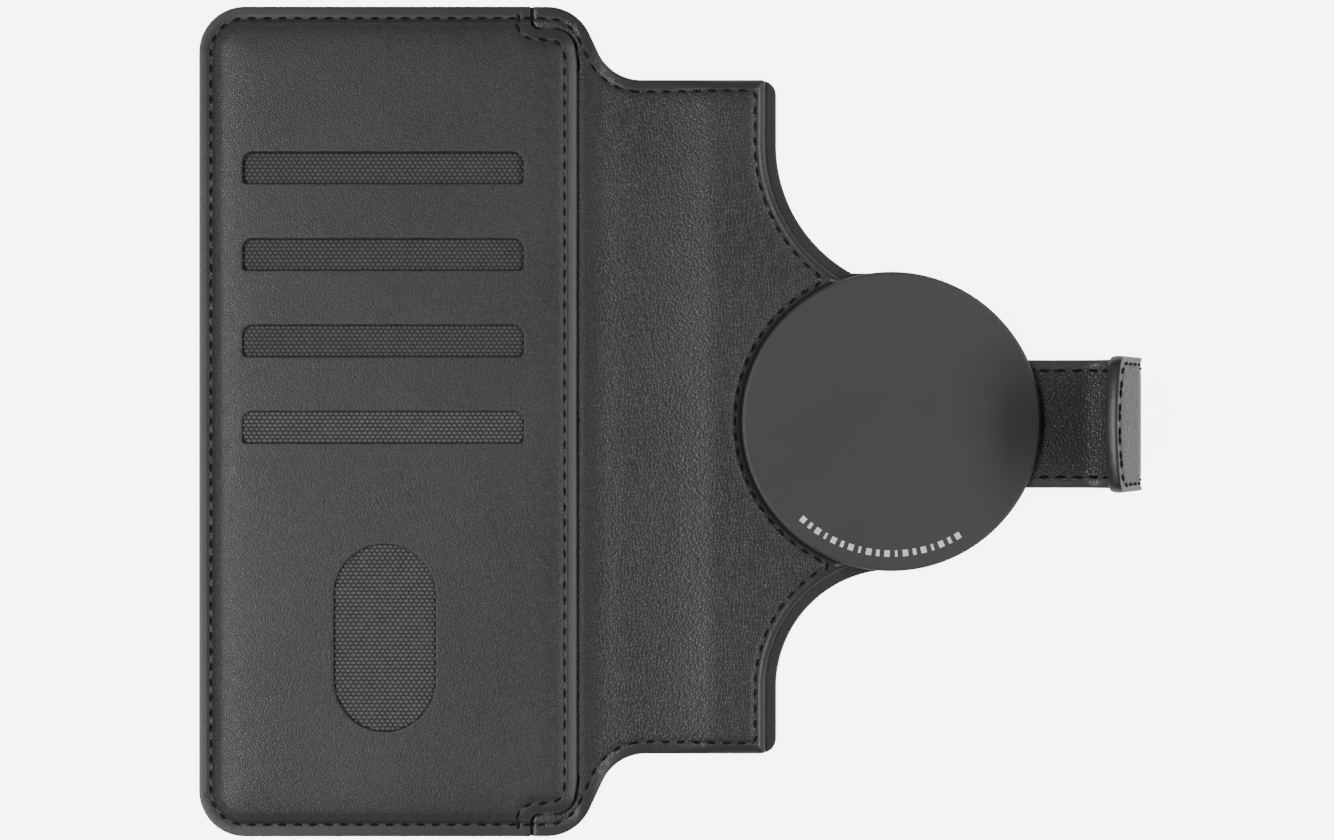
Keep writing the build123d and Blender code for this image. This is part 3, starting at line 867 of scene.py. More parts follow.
def panelTop(xy, edge):
    look = panelLook
    outer = distanceTo(xy, panelOuterLine, closed=False)
    right = distanceTo(xy, panelRightLine, closed=False)
    reach = np.maximum(outer - look["wallEnd"], 0)
    swell = look["top"] - look["wallTop"]
    fromOuter = np.interp(outer, *zip(*wallProfile)) + swell * (1 - np.exp(-reach / look["slope"]))
    # beside the notch the panel laps over the lining
    lap = smooth((xy[:, 0] - look["notchX"] + 3.0) / 2.6) * smooth((notchY + 0.4 - np.abs(xy[:, 1])) / 0.9)
    fromOuter = np.maximum(fromOuter, look["rim"] + 0.78 * lap)
    fromRight = np.interp(right, *zip(*rimProfile))
    z = np.minimum(fromOuter, fromRight)
    z += waves(xy, 12.0, 0.06, 1.3) * smooth((edge - 3) / 6)
    z -= valley(distanceTo(xy, seam)) * (right > 3.0)
    return z - 0.6 * valley(distanceTo(xy, panelSeam, closed=False))


def panelBottom(xy, edge, top):
    low = np.where(xy[:, 0] > panelLook["notchX"], 1.62, 0.82)
    return np.maximum(top - 0.8, low)


cardPanel, = sheetMesh(["card_panel"], panelOutline, holes=panelHoles, rings=(0.12, 0.3, 0.8, 1.5),
                       features=[(panelSeam, (0, 0.3, -0.3, 0.7, -0.7), False),
                                 (seam, (0, 0.35, -0.35, 0.8, -0.8), True)],
                       spacing=panelLook["spacing"], top=panelTop, bottom=panelBottom)
dress(cardPanel, "leather")
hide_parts("card_panel_leather")
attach(cardPanel, "cover")
print("leather sheets made")

# Stitches: one tree lays bent thread lengths along a seam's line.
stitchLook = {
    "pitch": 3.08,
    "length": 2.55,
    "width": 0.62,
    "height": 0.36,
    "bend": 0.30,      # how far the ends dive into their holes
    "turn": 5.0,       # degrees of hand-made slant
    "seed": 11,
}


def makeStitchTree():
    tree, given, result = newGroup("seamStitches", "GeometryNodeTree",
                                   {"Geometry": "Geometry", "Pitch": 0.003, "Length": 0.0025, "Width": 0.0006,
                                    "Height": 0.0004, "Bend": 0.0003, "Turn": 0.05, "Seed": 1,
                                    "Material": "Material"}, ["Geometry"])
    curve = addNode(tree, "GeometryNodeMeshToCurve", Mesh=given["Geometry"])
    rows = addNode(tree, "GeometryNodeResampleCurve", {"mode": "LENGTH"}, Curve=curve, Length=given["Pitch"])
    ball = addNode(tree, "GeometryNodeMeshUVSphere", Segments=8, Rings=8, Radius=0.5)
    size = addNode(tree, "ShaderNodeCombineXYZ", X=given["Length"], Y=given["Width"],
                   Z=given["Height"])
    stretched = addNode(tree, "GeometryNodeTransform", Geometry=ball, Scale=size)
    place = addNode(tree, "GeometryNodeInputPosition")
    split = addNode(tree, "ShaderNodeSeparateXYZ", Vector=place)
    along = calc(tree, "/", split.outputs["X"], given["Length"])
    dive = calc(tree, "*", calc(tree, "*", along, along), 4.0)
    drop = calc(tree, "*", calc(tree, "*", dive, given["Bend"]), -1.0)
    offset = addNode(tree, "ShaderNodeCombineXYZ", Z=drop)
    bent = addNode(tree, "GeometryNodeSetPosition", Geometry=stretched, Offset=offset)
    tangent = addNode(tree, "GeometryNodeInputTangent")
    up = addNode(tree, "GeometryNodeInputNamedAttribute", {"data_type": "FLOAT_VECTOR"}, Name="up")
    first = addNode(tree, "FunctionNodeAlignRotationToVector", {"axis": "X"}, Vector=tangent)
    second = addNode(tree, "FunctionNodeAlignRotationToVector", {"axis": "Z", "pivot_axis": "X"},
                     Rotation=first, Vector=up.outputs["Attribute"])
    slant = addNode(tree, "FunctionNodeRandomValue", {"data_type": "FLOAT"})
    wire(tree, calc(tree, "*", given["Turn"], -1.0), slant.inputs[2])
    wire(tree, given["Turn"], slant.inputs[3])
    wire(tree, given["Seed"], slant.inputs["Seed"])
    turn = addNode(tree, "FunctionNodeAxisAngleToRotation", Angle=slant.outputs[1])
    turn.inputs["Axis"].default_value = (0, 0, 1)
    facing = addNode(tree, "FunctionNodeRotateRotation", {"rotation_space": "LOCAL"}, Rotation=second)
    wire(tree, turn, facing.inputs[1])
    laid = addNode(tree, "GeometryNodeInstanceOnPoints", Points=rows, Instance=bent, Rotation=facing)
    real = addNode(tree, "GeometryNodeRealizeInstances", Geometry=laid)
    rounded = addNode(tree, "GeometryNodeSetShadeSmooth", Geometry=real)
    dressed = addNode(tree, "GeometryNodeSetMaterial", Geometry=rounded, Material=given["Material"])
    wire(tree, dressed, result["Geometry"])
    return tree


def bakeNodes(name, mesh, tree, **values):
    # runs a tree once and keeps its result as a plain mesh
    source = newPiece(name + "_source", mesh)
    modifier = source.modifiers.new("nodes", "NODES")
    modifier.node_group = tree
    for item in tree.interface.items_tree:
        key = item.name.replace(" ", "_")
        if item.item_type == "SOCKET" and item.in_out == "INPUT" and key in values:
            modifier[item.identifier] = values[key]
    source.update_tag()
    ready = source.evaluated_get(bpy.context.evaluated_depsgraph_get())
    result = bpy.data.meshes.new_from_object(ready)
    source.modifiers.remove(modifier)
    bpy.data.objects.remove(source)
    result.name = name
    for attribute in [a.name for a in result.attributes if a.name in ("up", "id")]:
        result.attributes.remove(result.attributes[attribute])
    print("  ", name, len(result.polygons), "faces")
    return newPiece(name, result)


stitchTree = makeStitchTree()


def runsInside(points, keep):
    # the unbroken stretches of a closed line where keep is true
    flags = [bool(k) for k in keep]
    if all(flags):
        return [points + points[:1]]
    first = next(i for i in range(len(points)) if flags[i] and not flags[i - 1])
    runs, run = [], []
    for k in range(len(points)):
        i = (first + k) % len(points)
        if flags[i]:
            run.append(points[i])
        elif run:
            runs.append(run)
            run = []
    if run:
        runs.append(run)
    return [r for r in runs if len(r) > 6]


def seamPiece(name, rows, **changes):
    # rows: lists of (point, up) in millimetres, each one seam line
    look = {**stitchLook, **changes}
    verts, ups, edges = [], [], []
    for row in rows:
        first = len(verts)
        for point, up in row:
            verts.append(tuple(c * mm for c in point))
            ups.append(tuple(up))
        edges += [(first + k, first + k + 1) for k in range(len(row) - 1)]
    mesh = bpy.data.meshes.new(name + "_line")
    mesh.from_pydata(verts, edges, [])
    addValues(mesh, "up", ups, "FLOAT_VECTOR")
    piece = bakeNodes(name, mesh, stitchTree, Pitch=look["pitch"] * mm, Length=look["length"] * mm,
                      Width=look["width"] * mm, Height=look["height"] * mm, Bend=look["bend"] * mm,
                      Turn=math.radians(look["turn"]), Seed=look["seed"], Material=materials["thread"])
    return piece


def onSurface(run, top, edges, lift, down=False):
    # a flat line lifted onto a sheet, with up or down as its outside
    xy = np.array(run)
    edge = distanceTo(xy, edges)
    z = top(xy, edge, 0) if down else top(xy, edge)
    side = -1 if down else 1
    return [((x, y, h + side * lift), (0, 0, side)) for (x, y), h in zip(run, z)]


seamArray = np.array(seam)
splitX = shape["splitX"]
notchX = panelLook["notchX"]
panelRuns = runsInside(seam, seamArray[:, 0] < notchX - 0.3)
hingeRuns = runsInside(seam, (seamArray[:, 0] > notchX + 1.9) & (seamArray[:, 0] < splitX))
wingRuns = runsInside(seam, seamArray[:, 0] > splitX)
coverRuns = runsInside(seam, seamArray[:, 0] < splitX)
lift = 0.07
coverRows = [onSurface(run, panelTop, panelOutline, lift) for run in panelRuns]
coverRows += [onSurface(run, liningTop, lining, lift) for run in hingeRuns]
coverRows += [onSurface(run, outerBottom, outline, -0.06, True) for run in coverRuns]
wingRows = [onSurface(run, liningTop, lining, lift) for run in wingRuns]
wingRows += [onSurface(run, outerBottom, outline, -0.06, True) for run in wingRuns]
coverStitches = seamPiece("seam_stitches_cover_side", coverRows)
wingStitches = seamPiece("seam_stitches_wing_side", wingRows, seed=23)
foldWith(coverStitches, "cover_fold", "cover", "spine")
foldWith(wingStitches, "spine_fold", "spine", "wing")
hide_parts("cover_perimeter_thread")
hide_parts("spine_thread", "wing_thread")
panelStitches = seamPiece("panel_stitches", [onSurface(panelSeam, panelTop, panelOutline, lift)], seed=37)
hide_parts("card_panel_thread")
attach(panelStitches, "cover")
print("seams stitched")

# Pocket cloths, and the woven face that shows in each window.
weaveLook = {
    "pitchX": 1.06,
    "pitchY": 0.78,
    "length": 0.98,
    "width": 0.70,
    "height": 0.40,
    "margin": 0.5,
    "seed": 5,
}


def makeWeaveTree():
    tree, given, result = newGroup("pocketWeave", "GeometryNodeTree",
                                   {"Width": 0.05, "Height": 0.01, "Corner": 0.001, "Pitch X": 0.001,
                                    "Pitch Y": 0.0008, "Float Length": 0.001, "Float Width": 0.0008,
                                    "Float Height": 0.0002, "Centre": "Vector", "Seed": 1,
                                    "Material": "Material"}, ["Geometry"])
    width, height, corner = (given[k] for k in ("Width", "Height", "Corner"))
    pitchX, pitchY = given["Pitch X"], given["Pitch Y"]
    columns = calc(tree, "CEIL", calc(tree, "/", width, pitchX))
    rowCount = calc(tree, "CEIL", calc(tree, "/", height, pitchY))
    grid = addNode(tree, "GeometryNodeMeshGrid")
    wire(tree, calc(tree, "*", columns, pitchX), grid.inputs["Size X"])
    wire(tree, calc(tree, "*", rowCount, pitchY), grid.inputs["Size Y"])
    wire(tree, calc(tree, "+", columns, 1.0), grid.inputs["Vertices X"])
    wire(tree, calc(tree, "+", rowCount, 1.0), grid.inputs["Vertices Y"])
    place = addNode(tree, "GeometryNodeInputPosition")
    split = addNode(tree, "ShaderNodeSeparateXYZ", Vector=place)
    row = calc(tree, "ROUND", calc(tree, "+", calc(tree, "/", split.outputs["Y"], pitchY), 200.25))
    odd = calc(tree, "MODULO", row, 2.0)
    shift = addNode(tree, "ShaderNodeCombineXYZ", X=calc(tree, "*", calc(tree, "*", odd, 0.5), pitchX))
    staggered = addNode(tree, "GeometryNodeSetPosition", Geometry=grid.outputs["Mesh"], Offset=shift)
    # a rounded rectangle keeps the floats that show
    qx = calc(tree, "-", calc(tree, "ABSOLUTE", split.outputs["X"]),
              calc(tree, "-", calc(tree, "*", width, 0.5), corner))
    qy = calc(tree, "-", calc(tree, "ABSOLUTE", split.outputs["Y"]),
              calc(tree, "-", calc(tree, "*", height, 0.5), corner))
    outX = calc(tree, "MAXIMUM", qx, 0.0)
    outY = calc(tree, "MAXIMUM", qy, 0.0)
    far = calc(tree, "SQRT", calc(tree, "+", calc(tree, "*", outX, outX), calc(tree, "*", outY, outY)))
    within = calc(tree, "LESS_THAN", far, corner)
    ball = addNode(tree, "GeometryNodeMeshUVSphere", Segments=8, Rings=5, Radius=0.5)
    size = addNode(tree, "ShaderNodeCombineXYZ", X=given["Float Length"], Y=given["Float Width"],
                   Z=given["Float Height"])
    floatMesh = addNode(tree, "GeometryNodeTransform", Geometry=ball, Scale=size)
    vary = addNode(tree, "FunctionNodeRandomValue", {"data_type": "FLOAT"})
    vary.inputs[2].default_value = 0.9
    vary.inputs[3].default_value = 1.08
    wire(tree, given["Seed"], vary.inputs["Seed"])
    laid = addNode(tree, "GeometryNodeInstanceOnPoints", Points=staggered, Instance=floatMesh,
                   Selection=within, Scale=vary.outputs[1])
    moved = addNode(tree, "GeometryNodeTransform", Geometry=laid, Translation=given["Centre"])
    real = addNode(tree, "GeometryNodeRealizeInstances", Geometry=moved)
    rounded = addNode(tree, "GeometryNodeSetShadeSmooth", Geometry=real)
    dressed = addNode(tree, "GeometryNodeSetMaterial", Geometry=rounded, Material=given["Material"])
    wire(tree, dressed, result["Geometry"])
    return tree


weaveTree = makeWeaveTree()


def weaveField(name, centre, size, corner, level, seed, finish="weave"):
    look = weaveLook
    mesh = bpy.data.meshes.new(name + "_start")
    piece = bakeNodes(name, mesh, weaveTree, Width=(size[0] + look["margin"]) * mm,
                      Height=(size[1] + look["margin"]) * mm, Corner=(corner + look["margin"] / 2) * mm,
                      Pitch_X=look["pitchX"] * mm, Pitch_Y=look["pitchY"] * mm, Float_Length=look["length"] * mm,
                      Float_Width=look["width"] * mm, Float_Height=look["height"] * mm,
                      Centre=(centre[0] * mm, centre[1] * mm, level * mm), Seed=seed, Material=materials[finish])
    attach(piece, "cover")
    return piece


def pocketCloth(number):
    low, high = nodeBox(f"pocket_fabric_{number}")
    left, right, bottom, top = low.x + 1.0, high.x - 0.5, low.y + 0.5, high.y - 0.5
    start = (right, (low.y + high.y) / 2)
    corners = [(right, top), (left, top), (left, bottom), (right, bottom)]
    loop = dense(roundedLine([start, *corners, start], [1.0] * 4)[:-1], 2.0, closed=True)
    fine = 0.02

    def clothTop(xy, edge):
        return high.z - fine + waves(xy, 11.0, 0.018, number)

    def clothBottom(xy, edge, top):
        return low.z + fine + waves(xy, 11.0, 0.018, number)

    cloth, = sheetMesh([f"pocket_cloth_{number}"], loop, rings=(0.3,), spacing=2.4, top=clothTop,
                       bottom=clothBottom, edgeRound=0.05)
    dress(cloth, "cloth")
    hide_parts(f"pocket_fabric_{number}")
    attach(cloth, "cover")
    return cloth, ((right - left) * mm, (top - bottom) * mm), high.z


for number, topY in enumerate(panelLook["windowTops"], 1):
    cloth, flatSize, level = pocketCloth(number)
    centre = (panelLook["windowX"], topY - panelLook["windowHeight"] / 2)
    # painted light: the front pocket and the thumb window take the paler copy of the weave
    finish = "litFrontWeave" if number == 4 else "weave"
    size, thumb = (panelLook["windowWidth"], panelLook["windowHeight"]), panelLook["thumbSize"]
    woven = [weaveField(f"weave_window_{number}", centre, size, 1.6, level, weaveLook["seed"] + number,
                        finish)]
    if number == 4:
        woven.append(weaveField("weave_thumb_window", panelLook["thumbCentre"], thumb, thumb[0] / 2, level,
                                weaveLook["seed"], finish))
print("pockets made")


farFromEdge = 9.0


def solidPiece(name, verts, faces, edges=None, smoothAngle=35.0):
    # a closed mesh from millimetres, with its faces turned outwards
    mesh = bpy.data.meshes.new(name)
    mesh.from_pydata([tuple(c * mm for c in v) for v in verts], [], faces)
    for key in ("edge", "cut"):
        addValues(mesh, key, edges or [farFromEdge] * len(verts))
    work = bmesh.new()
    work.from_mesh(mesh)
    bmesh.ops.recalc_face_normals(work, faces=work.faces)
    work.to_mesh(mesh)
    work.free()
    shadeSmooth(mesh, smoothAngle)
    print("  ", name, len(mesh.polygons), "faces")
    return newPiece(name, mesh)


def lathe(name, profile, centre=(0, 0), sides=192):
    # profile: (radius, height) from the axis out and back to it, or a closed ring that never meets it
    onAxis = profile[0][0] == 0
    rings = profile[1:-1] if onAxis else profile
    verts, faces = [], []
    for r, z in rings:
        for k in range(sides):
            a = 2 * math.pi * k / sides
            verts.append((centre[0] + r * math.cos(a), centre[1] + r * math.sin(a), z))
    last = len(rings) - 1
    for i in range(last if onAxis else last + 1):
        a, b = i * sides, ((i + 1) % len(rings)) * sides
        faces += [(a + k, a + (k + 1) % sides, b + (k + 1) % sides, b + k) for k in range(sides)]
    if onAxis:
        for ring, z in ((0, profile[0][1]), (last, profile[-1][1])):
            verts.append((*centre, z))
            hub = len(verts) - 1
            faces += [(ring * sides + k, ring * sides + (k + 1) % sides, hub) for k in range(sides)]
    return solidPiece(name, verts, faces)


# The magnetic disc: a moulded tray with a rounded shoulder, and the film over it.
discLook = {"shoulder": 0.55, "filmEdge": 29.62, "filmTop": 4.985}
discRadius = filmHigh.x
ringLow, ringHigh = nodeBox("disc_yoke_ring")
housingLow, housingHigh = nodeBox("disc_housing")
shoulder = discLook["shoulder"]
grooveOut, grooveIn = ringHigh.x + 0.1, 21.5


def shoulderArc(radius, top, size, angles):
    return [(radius - size * (1 - math.cos(a)), top - size * (1 - math.sin(a))) for a in angles]


low, top = housingLow.z, housingHigh.z
housing = lathe("disc_tray", [(0, low), (discRadius - 0.5, low), (discRadius - 0.15, low + 0.12),
                              (discRadius, low + 0.4), (discRadius, top - shoulder),
                              *shoulderArc(discRadius, top, shoulder, (0.3, 0.6, 0.9, 1.2)),
                              (discRadius - shoulder, top), (grooveOut, top), (grooveOut, ringLow.z),
                              (grooveIn, ringLow.z), (grooveIn, top), (0, top)])
dress(housing, "plastic")
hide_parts("disc_housing")
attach(housing, "wing")
filmEdge, filmTop = discLook["filmEdge"], discLook["filmTop"]
film = lathe("disc_film", [(0, filmLow.z), (filmEdge, filmLow.z),
                           *shoulderArc(filmEdge, filmTop, 0.17, (0, 0.4, 0.8, 1.2)),
                           *[(r, filmTop) for r in (29.3, 28.5, 24, 18, 12, 6, 0)]])
dress(film, "film")
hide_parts("disc_cover_film")
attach(film, "wing")
print("disc made")

# The strap: two skins that run flat, curl up through a quarter turn and lean over into the tab.
strapLook = {
    "y": 0.5 * (strapLow.y + strapHigh.y),
    "width": strapHigh.y - strapLow.y,
    "level": 1.8,
    "half": 1.0,
    "coreHalf": 0.32,
    "start": 20.0,
    "curlStart": 38.0,
    "curlRadius": 8.1,
    "curlSplit": 48.0,     # degrees round the curl where the two lengths meet
    "bendRadius": 6.0,
    "lean": 32.0,
    "endInTab": 3.2,
    "seamInset": 2.2,
}
tabFold = hinges["tab_fold"]


def strapRoute(step=0.45):
    # (x, z, heading) along the middle of the strap; the heading is 0 along X and 90 upwards
    look = strapLook
    r = look["curlRadius"]
    flat = look["curlStart"] - look["start"]
    route = [(look["start"] + flat * k / 36, look["level"], 0.0) for k in range(36)]
    count = int(math.radians(90) * r / step)
    for k in range(count):
        a = 90 * k / count
        route.append((look["curlStart"] + r * math.sin(math.radians(a)),
                      look["level"] + r * (1 - math.cos(math.radians(a))), a))
    top = look["level"] + r
    reach = look["bendRadius"] * math.tan(math.radians(look["lean"] / 2))
    bendStart = tabFold.z - reach
    count = int((bendStart - top) / step)
    route += [(tabFold.x, top + (bendStart - top) * k / count, 90.0) for k in range(count)]
    count = 10
    for k in range(count):
        a = math.radians(look["lean"] * k / count)
        route.append((tabFold.x - look["bendRadius"] * (1 - math.cos(a)),
                      bendStart + look["bendRadius"] * math.sin(a), 90 + math.degrees(a)))
    a = math.radians(90 + look["lean"])
    for s in np.arange(reach, look["endInTab"] + 0.01, 0.35):
        route.append((tabFold.x + s * math.cos(a), tabFold.z + s * math.sin(a), 90 + look["lean"]))
    return route


def skinSection(side):
    # half of the strap's cross-section, (across, out) with out towards side: crowned face, rounded lip
    look = strapLook
    half, w, core = look["half"], look["width"] / 2, look["coreHalf"]
    seamV = w - look["seamInset"]
    across = [-w + 0.45 + (2 * w - 0.9) * k / 24 for k in range(25)]
    across += [s * (seamV + v) for s in (-1, 1) for v in (-0.5, 0, 0.5)]
    face = []
    for v in sorted(across):
        near = w - abs(v)
        dip = 0.10 * math.exp(-((near - look["seamInset"]) / 0.6) ** 2)
        face.append((v, half - 0.03 - dip - 0.10 * math.exp(-near / 0.8)))
    right = [(w - 0.18, half - 0.28), (w - 0.04, half - 0.55), (w - 0.02, 0.16), (w - 0.14, 0.03)]
    inner = [(w - 1.0, 0.03), (w - 1.5, core), (-w + 1.5, core), (-w + 1.0, 0.03)]
    left = [(-v, h) for v, h in reversed(right)]
    loop = face + right + inner + left
    return [(v, h * side) for v, h in loop]


def closedRun(count, size):
    # faces over count rings of size points each, capped at both ends
    faces = [tuple(range(size)), tuple(reversed(range((count - 1) * size, count * size)))]
    for a in range(0, (count - 1) * size, size):
        faces += [(a + k, a + (k + 1) % size, a + size + (k + 1) % size, a + size + k) for k in range(size)]
    return faces


def sweep(name, route, section, y):
    # carries a closed section along the route; out is measured towards the inside of the curl
    verts, edges = [], []
    for x, z, heading in route:
        a = math.radians(heading)
        for v, h in section:
            verts.append((x - h * math.sin(a), y + v, z + h * math.cos(a)))
            edges.append(strapLook["width"] / 2 - abs(v))
    return solidPiece(name, verts, closedRun(len(route), len(section)), edges, 50.0)


route = strapRoute()
splitAt = next(i for i, r in enumerate(route) if r[2] >= strapLook["curlSplit"])
lowRoute, highRoute = route[:splitAt + 1], route[splitAt:]


def bendAtRoot(piece):
    level = strapLook["level"] * mm
    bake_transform(piece, "wing", "strap", start=(0.031, 0, level), end=(0.035, 0, level))


def bendAtTab(piece):
    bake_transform(piece, "strap", "tab", start=(tabFold.x * mm, 0, (tabFold.z - 1.7) * mm),
             end=((tabFold.x - 0.9) * mm, 0, (tabFold.z + 1.4) * mm))


for skin, side, coverNodes in (("inner", 1, ("strap_root_inner_leather", "strap_inner_leather")),
                               ("outer", -1, ("strap_root_outer_leather", "strap_outer_leather"))):
    lowSkin = sweep(f"strap_{skin}_skin_low", lowRoute, skinSection(side), strapLook["y"])
    highSkin = sweep(f"strap_{skin}_skin_high", highRoute, skinSection(side), strapLook["y"])
    bendAtRoot(lowSkin)
    bendAtTab(highSkin)
    for piece, node in zip((lowSkin, highSkin), coverNodes):
        dress(piece, "strapLeather")
        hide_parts(node)


def strapRow(part, v, side):
    lift = side * (strapLook["half"] - 0.10)
    row = []
    for x, z, heading in part:
        a = math.radians(heading)
        out = (-side * math.sin(a), 0, side * math.cos(a))
        row.append(((x - lift * math.sin(a), strapLook["y"] + v, z + lift * math.cos(a)), out))
    return row


seamAt = strapLook["width"] / 2 - strapLook["seamInset"]
visibleLow = [r for r in lowRoute if r[0] > 30.6]
underLow = [r for r in lowRoute if r[0] > 22]
upToTab = [r for r in highRoute if r[1] < tabFold.z + 0.6]
lowRows = [strapRow(part, v, side) for v in (seamAt, -seamAt) for part, side in ((visibleLow, 1), (underLow, -1))]
highRows = [strapRow(upToTab, v, side) for v in (seamAt, -seamAt) for side in (1, -1)]
strapThread = {"length": 2.95, "bend": 0.24}
lowStitches = seamPiece("strap_stitches_low", lowRows, seed=41, **strapThread)
highStitches = seamPiece("strap_stitches_high", highRows, seed=43, **strapThread)
bendAtRoot(lowStitches)
bendAtTab(highStitches)
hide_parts("strap_root_thread")
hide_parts("strap_thread")
print("strap made")

# The tab: two pillowed leather faces with a glossy painted band round their edge.
tabLook = {
    "length": 16.5,
    "start": 1.0,
    "bulge": 2.6,
    "corner": 3.0,
    "half": 1.4,
    "leather": 0.8,
    "inset": 0.35,
    "crown": 0.10,
    "bandHalf": 1.22,
    "seamInset": 1.5,
    "baseFrom": 3.4,      # the face thins from here down to the strap
    "baseSlope": 0.11,
}


def tabOutline(inset, start):
    look = tabLook
    side = strapLook["width"] / 2 - inset
    end = look["length"] - inset
    shoulderU = look["length"] - look["bulge"] - inset
    # the bowed end is an arc through both shoulders and the tip
    sagitta = end - shoulderU
    radius = (side * side + sagitta * sagitta) / (2 * sagitta)
    half = math.degrees(math.asin(side / radius))
    bow = [(end - radius + radius * math.cos(math.radians(a)), radius * math.sin(math.radians(a)))
           for a in np.linspace(half, -half, 7)]
    corner = max(look["corner"] - inset, 0.5)
    line = roundedLine([(start, side)] + bow + [(start, -side)], [corner] + [30.0] * 5 + [corner], 0.3)
    return line


def tabPoint(u, v, w):
    # w is out of the face that looks away from the curl
    a = math.radians(strapLook["lean"])
    return (tabFold.x - u * math.sin(a) + w * math.cos(a), strapLook["y"] + v,
            tabFold.z + u * math.cos(a) + w * math.sin(a))


def tabPlate(name, side):
    look = tabLook
    loop = dense(tabOutline(look["inset"], look["start"]), 0.45, closed=True)
    middle = look["half"] - look["leather"]

    def plateTop(xy, edge):
        crown = look["crown"] * (1 - np.exp(-edge / 2.5)) - 0.30 * np.exp(-edge / 0.7)
        dip = 0.12 * np.exp(-((edge - look["seamInset"] + look["inset"]) / 0.5) ** 2)
        dip = dip * (xy[:, 0] > look["start"] + 1)
        thin = look["baseSlope"] * np.clip(look["baseFrom"] - xy[:, 0], 0, None)
        return look["half"] - 0.1 + crown - dip - thin

    def plateBottom(xy, edge, top):
        return np.full(len(xy), middle)

    plate, = sheetMesh([name], loop, rings=(0.12, 0.3, 0.7, 1.3, 1.8, 2.4), spacing=0.9, top=plateTop,
                       bottom=plateBottom)
    for vertex in plate.data.vertices:
        u, v, w = (c / mm for c in vertex.co)
        vertex.co = Vector(tabPoint(u, v, w * side)) * mm
    if side > 0:
        plate.data.flip_normals()
    return plate


tabNodes = {1: "tab_outer_leather", -1: "tab_inner_leather"}
for side, name in ((1, "tab_face_outside"), (-1, "tab_face_inside")):
    plate = tabPlate(name, side)
    dress(plate, "strapLeather")
    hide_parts(tabNodes[side])
    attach(plate, "tab")


def tabBand():
    # a half-round band swept round the open D, with square ends at the strap
    look = tabLook
    line = dense(tabOutline(0.0, look["start"]), 0.4)
    path = np.array(line)
    ahead = np.gradient(path, axis=0)
    ahead /= np.linalg.norm(ahead, axis=1, keepdims=True)
    outward = np.stack([-ahead[:, 1], ahead[:, 0]], axis=1)
    section = []
    for k in range(13):
        a = math.radians(-90 + 180 * k / 12)
        section.append((-0.42 + 0.42 * math.cos(a) ** 0.7, look["bandHalf"] * math.sin(a)))
    section += [(-0.9, look["bandHalf"] - 0.1), (-0.9, -look["bandHalf"] + 0.1)]
    verts = [tabPoint(*(point + out * o), w) for point, out in zip(path, outward) for o, w in section]
    return solidPiece("tab_edge_band", verts, closedRun(len(path), len(section)))


band = tabBand()
dress(band, "paint")
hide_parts("tab_edge_paint")
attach(band, "tab")


def tabRow(side):
    look = tabLook
    line = dense(tabOutline(look["seamInset"], look["start"] + 1.5), 0.4)
    a = math.radians(strapLook["lean"])
    out = (side * math.cos(a), 0, side * math.sin(a))
    thin = [look["baseSlope"] * max(look["baseFrom"] - u, 0) for u, v in line]
    return [(tabPoint(u, v, side * (look["half"] - 0.07 - drop)), out) for (u, v), drop in zip(line, thin)]


tabStitches = seamPiece("tab_stitches", [tabRow(1), tabRow(-1)], seed=47, pitch=2.7, length=2.2)
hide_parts("tab_thread")
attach(tabStitches, "tab")
print("tab made")

# CAD pieces that keep their own shapes get their finishes.
finishes = {
    "cover_board": "board", "wing_board": "board", "tab_filler": "board", "closure_keeper_plate": "steel",
    "disc_yoke_ring": "steel", "disc_magnets": "nickel", "tab_magnet": "nickel", "disc_printed_marks": "ink",
    "strap_root_core": "webbing", "strap_core": "webbing",
}
for node, finish in finishes.items():
    mesh = frame["nodes"][node].data
    mesh.materials.clear()
    mesh.materials.append(materials[finish])
print("finishes given to", len(finishes), "carried-over pieces")

# Floor, lights and camera.
studio = {
    "cameraPlace": (-0.0449, 0.0003, 0.3512),
    "focal": 46.75,
    "seenWhite": 6.0,      # how bright the floor and the far backdrop look to the camera
    "ambient": 0.2,
    "floor": 0.85,
    "glossShare": 0.12,    # how much of that glow the gloss mirrors
    "keyPower": 11.6,
    "fillPower": 7.0,
    "sidePower": 1.6,
}


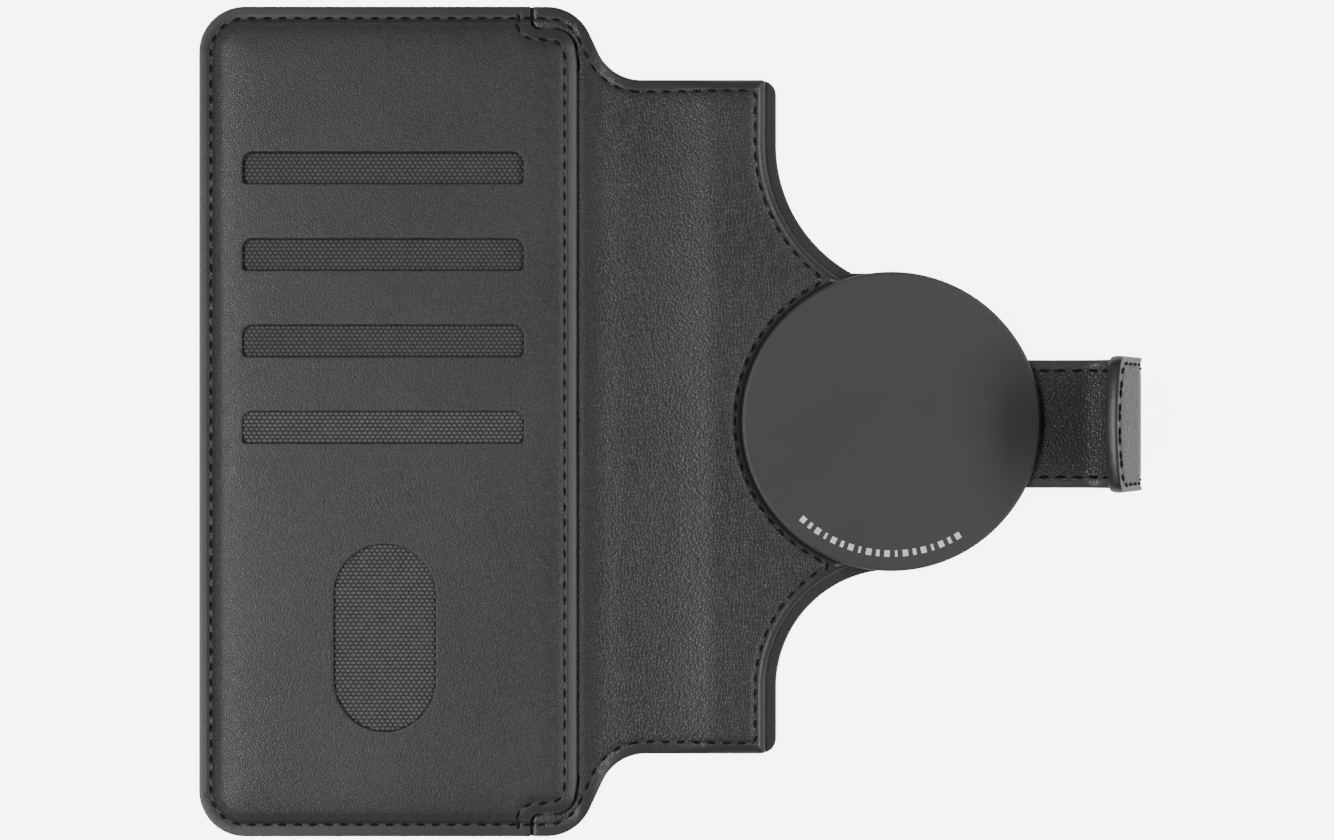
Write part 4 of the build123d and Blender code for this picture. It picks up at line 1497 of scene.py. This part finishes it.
def seenOrCast(tree, seen, cast, output, glossShare=0.0):
    # one shader for what the camera sees, another for the light that it gives
    path = tree.nodes.new("ShaderNodeLightPath")
    mix = tree.nodes.new("ShaderNodeMixShader")
    seenBy = calc(tree, "*+", path.outputs["Is Glossy Ray"], glossShare, path.outputs["Is Camera Ray"],
                  clamp=True)
    wire(tree, seenBy, mix.inputs[0])
    tree.links.new(cast.outputs[0], mix.inputs[1])
    tree.links.new(seen.outputs[0], mix.inputs[2])
    tree.links.new(mix.outputs[0], output.inputs["Surface"])


def makeStage():
    bpy.ops.mesh.primitive_plane_add(size=6.0, location=(0, 0, -0.0003))
    floor = bpy.context.object
    floor.name = "floor"
    material, tree, shader, _ = startMaterial("studioFloor")
    shader.inputs["Base Color"].default_value = grey(studio["floor"])
    shader.inputs["Roughness"].default_value = 0.9
    glow = tree.nodes.new("ShaderNodeEmission")
    glow.inputs["Strength"].default_value = studio["seenWhite"]
    both = tree.nodes.new("ShaderNodeAddShader")
    tree.links.new(shader.outputs[0], both.inputs[0])
    tree.links.new(glow.outputs[0], both.inputs[1])
    seenOrCast(tree, both, shader, tree.nodes["Material Output"], studio["glossShare"])
    floor.data.materials.append(material)
    world = bpy.data.worlds.new("studio")
    bpy.context.scene.world = world
    world.use_nodes = True
    tree = world.node_tree
    backdrop = tree.nodes["Background"]
    backdrop.inputs["Color"].default_value = grey(1.0)
    backdrop.inputs["Strength"].default_value = studio["seenWhite"]
    ambient = addNode(tree, "ShaderNodeBackground", Color=grey(1.0), Strength=studio["ambient"])
    seenOrCast(tree, backdrop, ambient, tree.nodes["World Output"])


def addLight(name, place, target, size, power):
    data = bpy.data.lights.new(name, "AREA")
    data.shape = "RECTANGLE"
    data.size, data.size_y = size
    data.energy = power
    light = newPiece(name, data)
    light.location = place
    light.rotation_euler = (Vector(target) - Vector(place)).to_track_quat("-Z", "Y").to_euler()


makeStage()
addLight("keyLight", (-0.66, -0.08, 0.95), (-0.05, 0, 0), (1.1, 0.26), studio["keyPower"])
addLight("fillLight", (0.64, 0.0, 0.80), (-0.05, 0, 0), (1.1, 0.30), studio["fillPower"])
addLight("sideLight", (0.95, 0.05, 0.18), (0.04, 0, 0.02), (0.7, 0.2), studio["sidePower"])
cameraData = bpy.data.cameras.new("camera")
cameraData.sensor_width = 36
cameraData.lens = studio["focal"]
camera = newPiece("camera", cameraData)
camera.location = studio["cameraPlace"]
bpy.context.scene.camera = camera
print("stage and camera made")
